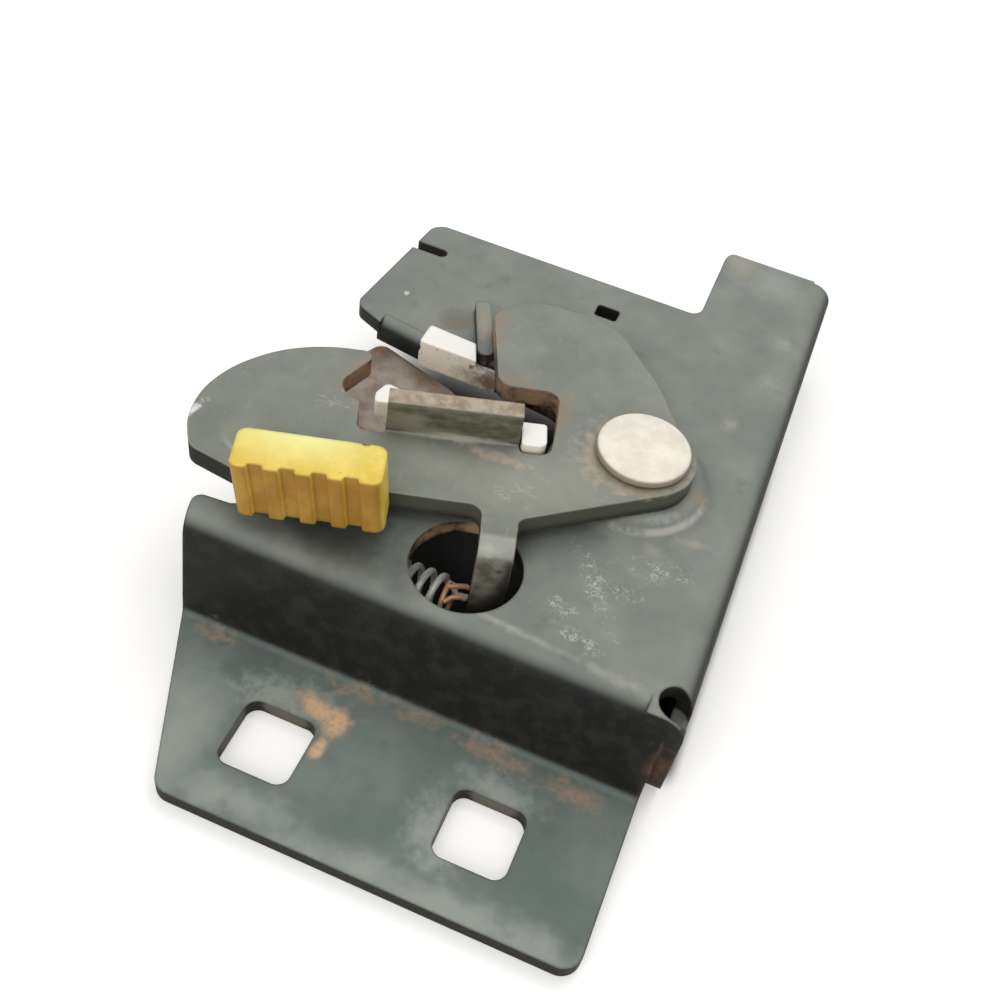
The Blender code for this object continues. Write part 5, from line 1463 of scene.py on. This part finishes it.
def dress(solid, name, material):
    solid.name = name
    solid.data.name = name
    solid.data.materials.clear()
    solid.data.materials.append(material)
    solid.data.shade_smooth()
    solid.data.set_sharp_from_angle(angle=SHARP_ANGLE)
    solid.location = PIVOT
    return solid


def spacer_ring():
    return ring(SPACER_RADIUS, BOSS_UNDERSIDE - CLEAR, CATCH_TOP + CLEAR)


def back_washer():
    return ring(WASHER_RADIUS, SPOOL_BOTTOM - CLEAR, WASHER_BOTTOM)


def end_loop():
    """Coppery last turn of the safety spring, at the tail's end."""
    turns = helix(LOOP_RADIUS, LOOP_TURNS, LOOP_STEPS, LOOP_PITCH * LOOP_TURNS, LOOP_START)
    points = [(LOOP_LEFT + along, SAFETY_Y + y, SAFETY_Z + z) for along, y, z in turns]
    return wire(points, LOOP_WIRE_RADIUS)


def end_strands():
    """The two strands that run from the last turn to the tail."""
    back = [(-20.3, -26.6, -9.2), (-18.9, -25.8, -9.1), (-17.6, -25.0, -9.4), (-16.4, -24.5, -10.4)]
    front = [(-19.6, -29.2, -9.6), (-18.7, -28.2, -9.0), (-17.6, -27.6, -9.0), (-16.85, -27.35, -9.3)]
    return join(wire(mm(*back), LOOP_WIRE_RADIUS), wire(mm(*front), LOOP_WIRE_RADIUS))


def build():
    finishes = {
        "dark_paint": pan_paint(),
        "lever_paint": lever_paint(),
        "yellow_moulding": grip_moulding(),
        "white_moulding": white_moulding(),
        "zinc": zinc_plate(),
        "bare_steel": catch_steel(),
        "spring_steel": wire_finish("spring_steel", (1.0, 0.99, 0.96), (0.55, 0.48, 0.38)),
    }
    copper = wire_finish("coppery_wire", (0.95, 0.56, 0.31), (0.50, 0.27, 0.14))
    rigid = [
        ("base_plate", base_plate, "dark_paint", "pan"),
        ("jaw_block", jaw_block, "white_moulding", "pan"),
        ("pivot_rivet", pivot_rivet, "zinc", "pan"),
        ("spacer_ring", spacer_ring, "zinc", "pan"),
        ("spring_spool", spring_spool, "white_moulding", "pan"),
        ("back_washer", back_washer, "zinc", "pan"),
        ("safety_lever", safety_lever, "lever_paint", "safety_catch"),
        ("finger_grip", finger_grip, "yellow_moulding", "safety_catch"),
        ("guide_pad", guide_pad, "white_moulding", "safety_catch"),
        ("catch_lever", catch_lever, "bare_steel", "primary_catch"),
    ]
    for node, make, slot_name, body in rigid:
        piece = dress(make(), node + "_look", finishes[slot_name])
        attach(piece, body)
        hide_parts(node)
    springs = [
        ("safety_spring", safety_spring, "safety_catch", (-41, -27, -12.4), (-20.5, -27, -12.4)),
        ("catch_spring", catch_spring, "primary_catch", (9, 0, -12), (-12, 0, -12)),
    ]
    for node, make, body, fixed, moving in springs:
        piece = dress(make(), node + "_look", finishes["spring_steel"])
        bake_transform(piece)
        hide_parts(node)
    for name, make in (("spring_end_loop", end_loop), ("spring_end_strands", end_strands)):
        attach(dress(make(), name, copper), "safety_catch")


# Floor, light and camera

WORLD_LIGHT = (1, 0.99, 0.97)
WORLD_STRENGTH = 0.45
LAMP_COLOUR = (1, 0.985, 0.96)
LAMP_SIZE = 0.5
LAMP_AIM = Vector((0, 0.05, 0))
LAMPS = (
    ("key", (0.05, 0.42, 0.55), 1.45),
    ("top", (-0.04, -0.02, 0.75), 0.55),
    ("fill", (-0.10, -0.50, 0.40), 1.55),
)

FLOOR_SIZE = 4.0
FLOOR_DROP = 0.2 * MM
FLOOR_COLOUR = (0.88, 0.88, 0.87)
FLOOR_ROUGHNESS = 0.9
FLOOR_SPECULAR = 0.1

# Light of its own that the floor has for the camera: near the origin, far off, and the distances between
# which it grows
FLOOR_LIFT = 0.3
FAR_LIFT = 0.62
LIFT_GROWS = (0.3, 1.1)

# Painted shadow, a dark patch of floor under the pan. Beyond its left and back edges it fades out over the
# given width. At the front and the right it grows from nothing at the first limit to full at the second.
SHADOW_PATCH_COLOUR = (0.05, 0.05, 0.05)
PATCH_LEFT = -24 * MM
PATCH_LEFT_FADE = 20 * MM
PATCH_BACK = 80 * MM
PATCH_BACK_FADE = 22 * MM
PATCH_FRONT = (19 * MM, 24 * MM)
PATCH_RIGHT = (40.5 * MM, 38 * MM)

# The camera of the photograph: its place is in millimetres from the origin
LENS = 43.4602
SENSOR_WIDTH = 36.0
CLIP = (0.01, 10.0)
CAMERA_PLACE = (27.81974385, -77.27569041, 158.83920641)
CAMERA_RIGHT = (0.92222707, 0.36355199, 0.13163277)
CAMERA_UP = (-0.35646045, 0.66755476, 0.65368692)
CAMERA_BACK = (0.1497771, -0.64976965, 0.74522897)


def white_background(nodes, light, target):
    """White for what the camera, mirrors and glass see, and the given light elsewhere."""
    path = nodes.new("ShaderNodeLightPath")
    seen = path.outputs["Is Camera Ray"]
    for name in ("Is Glossy Ray", "Is Transmission Ray"):
        seen = nodes.maths("MAXIMUM", seen, path.outputs[name])
    white = nodes.fill(nodes.new("ShaderNodeBackground"), (1, 1, 1), 1.0)
    nodes.mix_shaders(seen, light, white, target)


def studio():
    world = bpy.data.worlds.new("studio")
    bpy.context.scene.world = world
    world.use_nodes = True
    nodes = Nodes(world.node_tree)
    soft = nodes.fill(nodes.tree.nodes["Background"], WORLD_LIGHT, WORLD_STRENGTH)
    white_background(nodes, soft, nodes.tree.nodes["World Output"].inputs["Surface"])
    for name, place, energy in LAMPS:
        light = bpy.data.lights.new(name, "AREA")
        light.shape = "DISK"
        light.size = LAMP_SIZE
        light.energy = energy
        light.color = LAMP_COLOUR
        lamp = add_object(name, light)
        lamp.location = place
        lamp.rotation_euler = (LAMP_AIM - lamp.location).to_track_quat("-Z", "Y").to_euler()
    bpy.context.scene.view_settings.view_transform = "Standard"


def painted_shadow_patch(nodes, place):
    """Painted shadow: 1 on the floor under the pan, 0 outside the patch."""
    x, y = nodes.axis(place, 0), nodes.axis(place, 1)
    left = nodes.maths("DIVIDE", nodes.maths("SUBTRACT", PATCH_LEFT, x), PATCH_LEFT_FADE)
    back = nodes.maths("DIVIDE", nodes.maths("SUBTRACT", y, PATCH_BACK), PATCH_BACK_FADE)
    left, back = nodes.maths("MAXIMUM", left, 0.0), nodes.maths("MAXIMUM", back, 0.0)
    outward = nodes.maths("SQRT", nodes.maths("ADD", nodes.times(left, left), nodes.times(back, back)))
    edges = nodes.ramp(y, *PATCH_FRONT), nodes.ramp(x, *PATCH_RIGHT)
    return nodes.times(nodes.ramp(outward, 1.0, 0.0), *edges)


def floor():
    """Pale floor that keeps its shadow, with a painted shadow under the pan; to the camera it is lit up to
    the white background.
    """
    mesh = bpy.data.meshes.new("floor")
    edit = bmesh.new()
    bmesh.ops.create_grid(edit, x_segments=1, y_segments=1, size=FLOOR_SIZE)
    edit.to_mesh(mesh)
    edit.free()
    ground = add_object("floor", mesh)
    ground.location.z = -FLOOR_DROP
    material = bpy.data.materials.new("floor")
    material.use_nodes = True
    nodes = Nodes(material.node_tree)
    shader = nodes.tree.nodes["Principled BSDF"]
    nodes.put(shader.inputs["Roughness"], FLOOR_ROUGHNESS)
    nodes.put(shader.inputs["Specular IOR Level"], FLOOR_SPECULAR)
    place = nodes.new("ShaderNodeNewGeometry").outputs["Position"]
    in_painted_shadow = painted_shadow_patch(nodes, place)
    nodes.put(shader.inputs["Base Color"], nodes.blend(in_painted_shadow, FLOOR_COLOUR, SHADOW_PATCH_COLOUR))
    far = nodes.ramp(nodes.length(place), *LIFT_GROWS, FLOOR_LIFT, FAR_LIFT)
    lift = nodes.new("ShaderNodeEmission")
    nodes.put(lift.inputs["Strength"], nodes.times(far, nodes.maths("SUBTRACT", 1.0, in_painted_shadow)))
    both = nodes.fill(nodes.new("ShaderNodeAddShader"), shader.outputs[0], lift.outputs[0])
    seen = nodes.new("ShaderNodeLightPath").outputs["Is Camera Ray"]
    target = nodes.tree.nodes["Material Output"].inputs["Surface"]
    nodes.mix_shaders(seen, shader.outputs[0], both, target)
    mesh.materials.append(material)


def camera():
    data = bpy.data.cameras.new("camera")
    data.lens = LENS
    data.sensor_width = SENSOR_WIDTH
    data.clip_start, data.clip_end = CLIP
    place = Matrix((CAMERA_RIGHT, CAMERA_UP, CAMERA_BACK)).transposed().to_4x4()
    place.translation = Vector(CAMERA_PLACE) * MM
    eye = add_object("camera", data)
    eye.matrix_world = place
    bpy.context.scene.camera = eye


build()
studio()
floor()
camera()
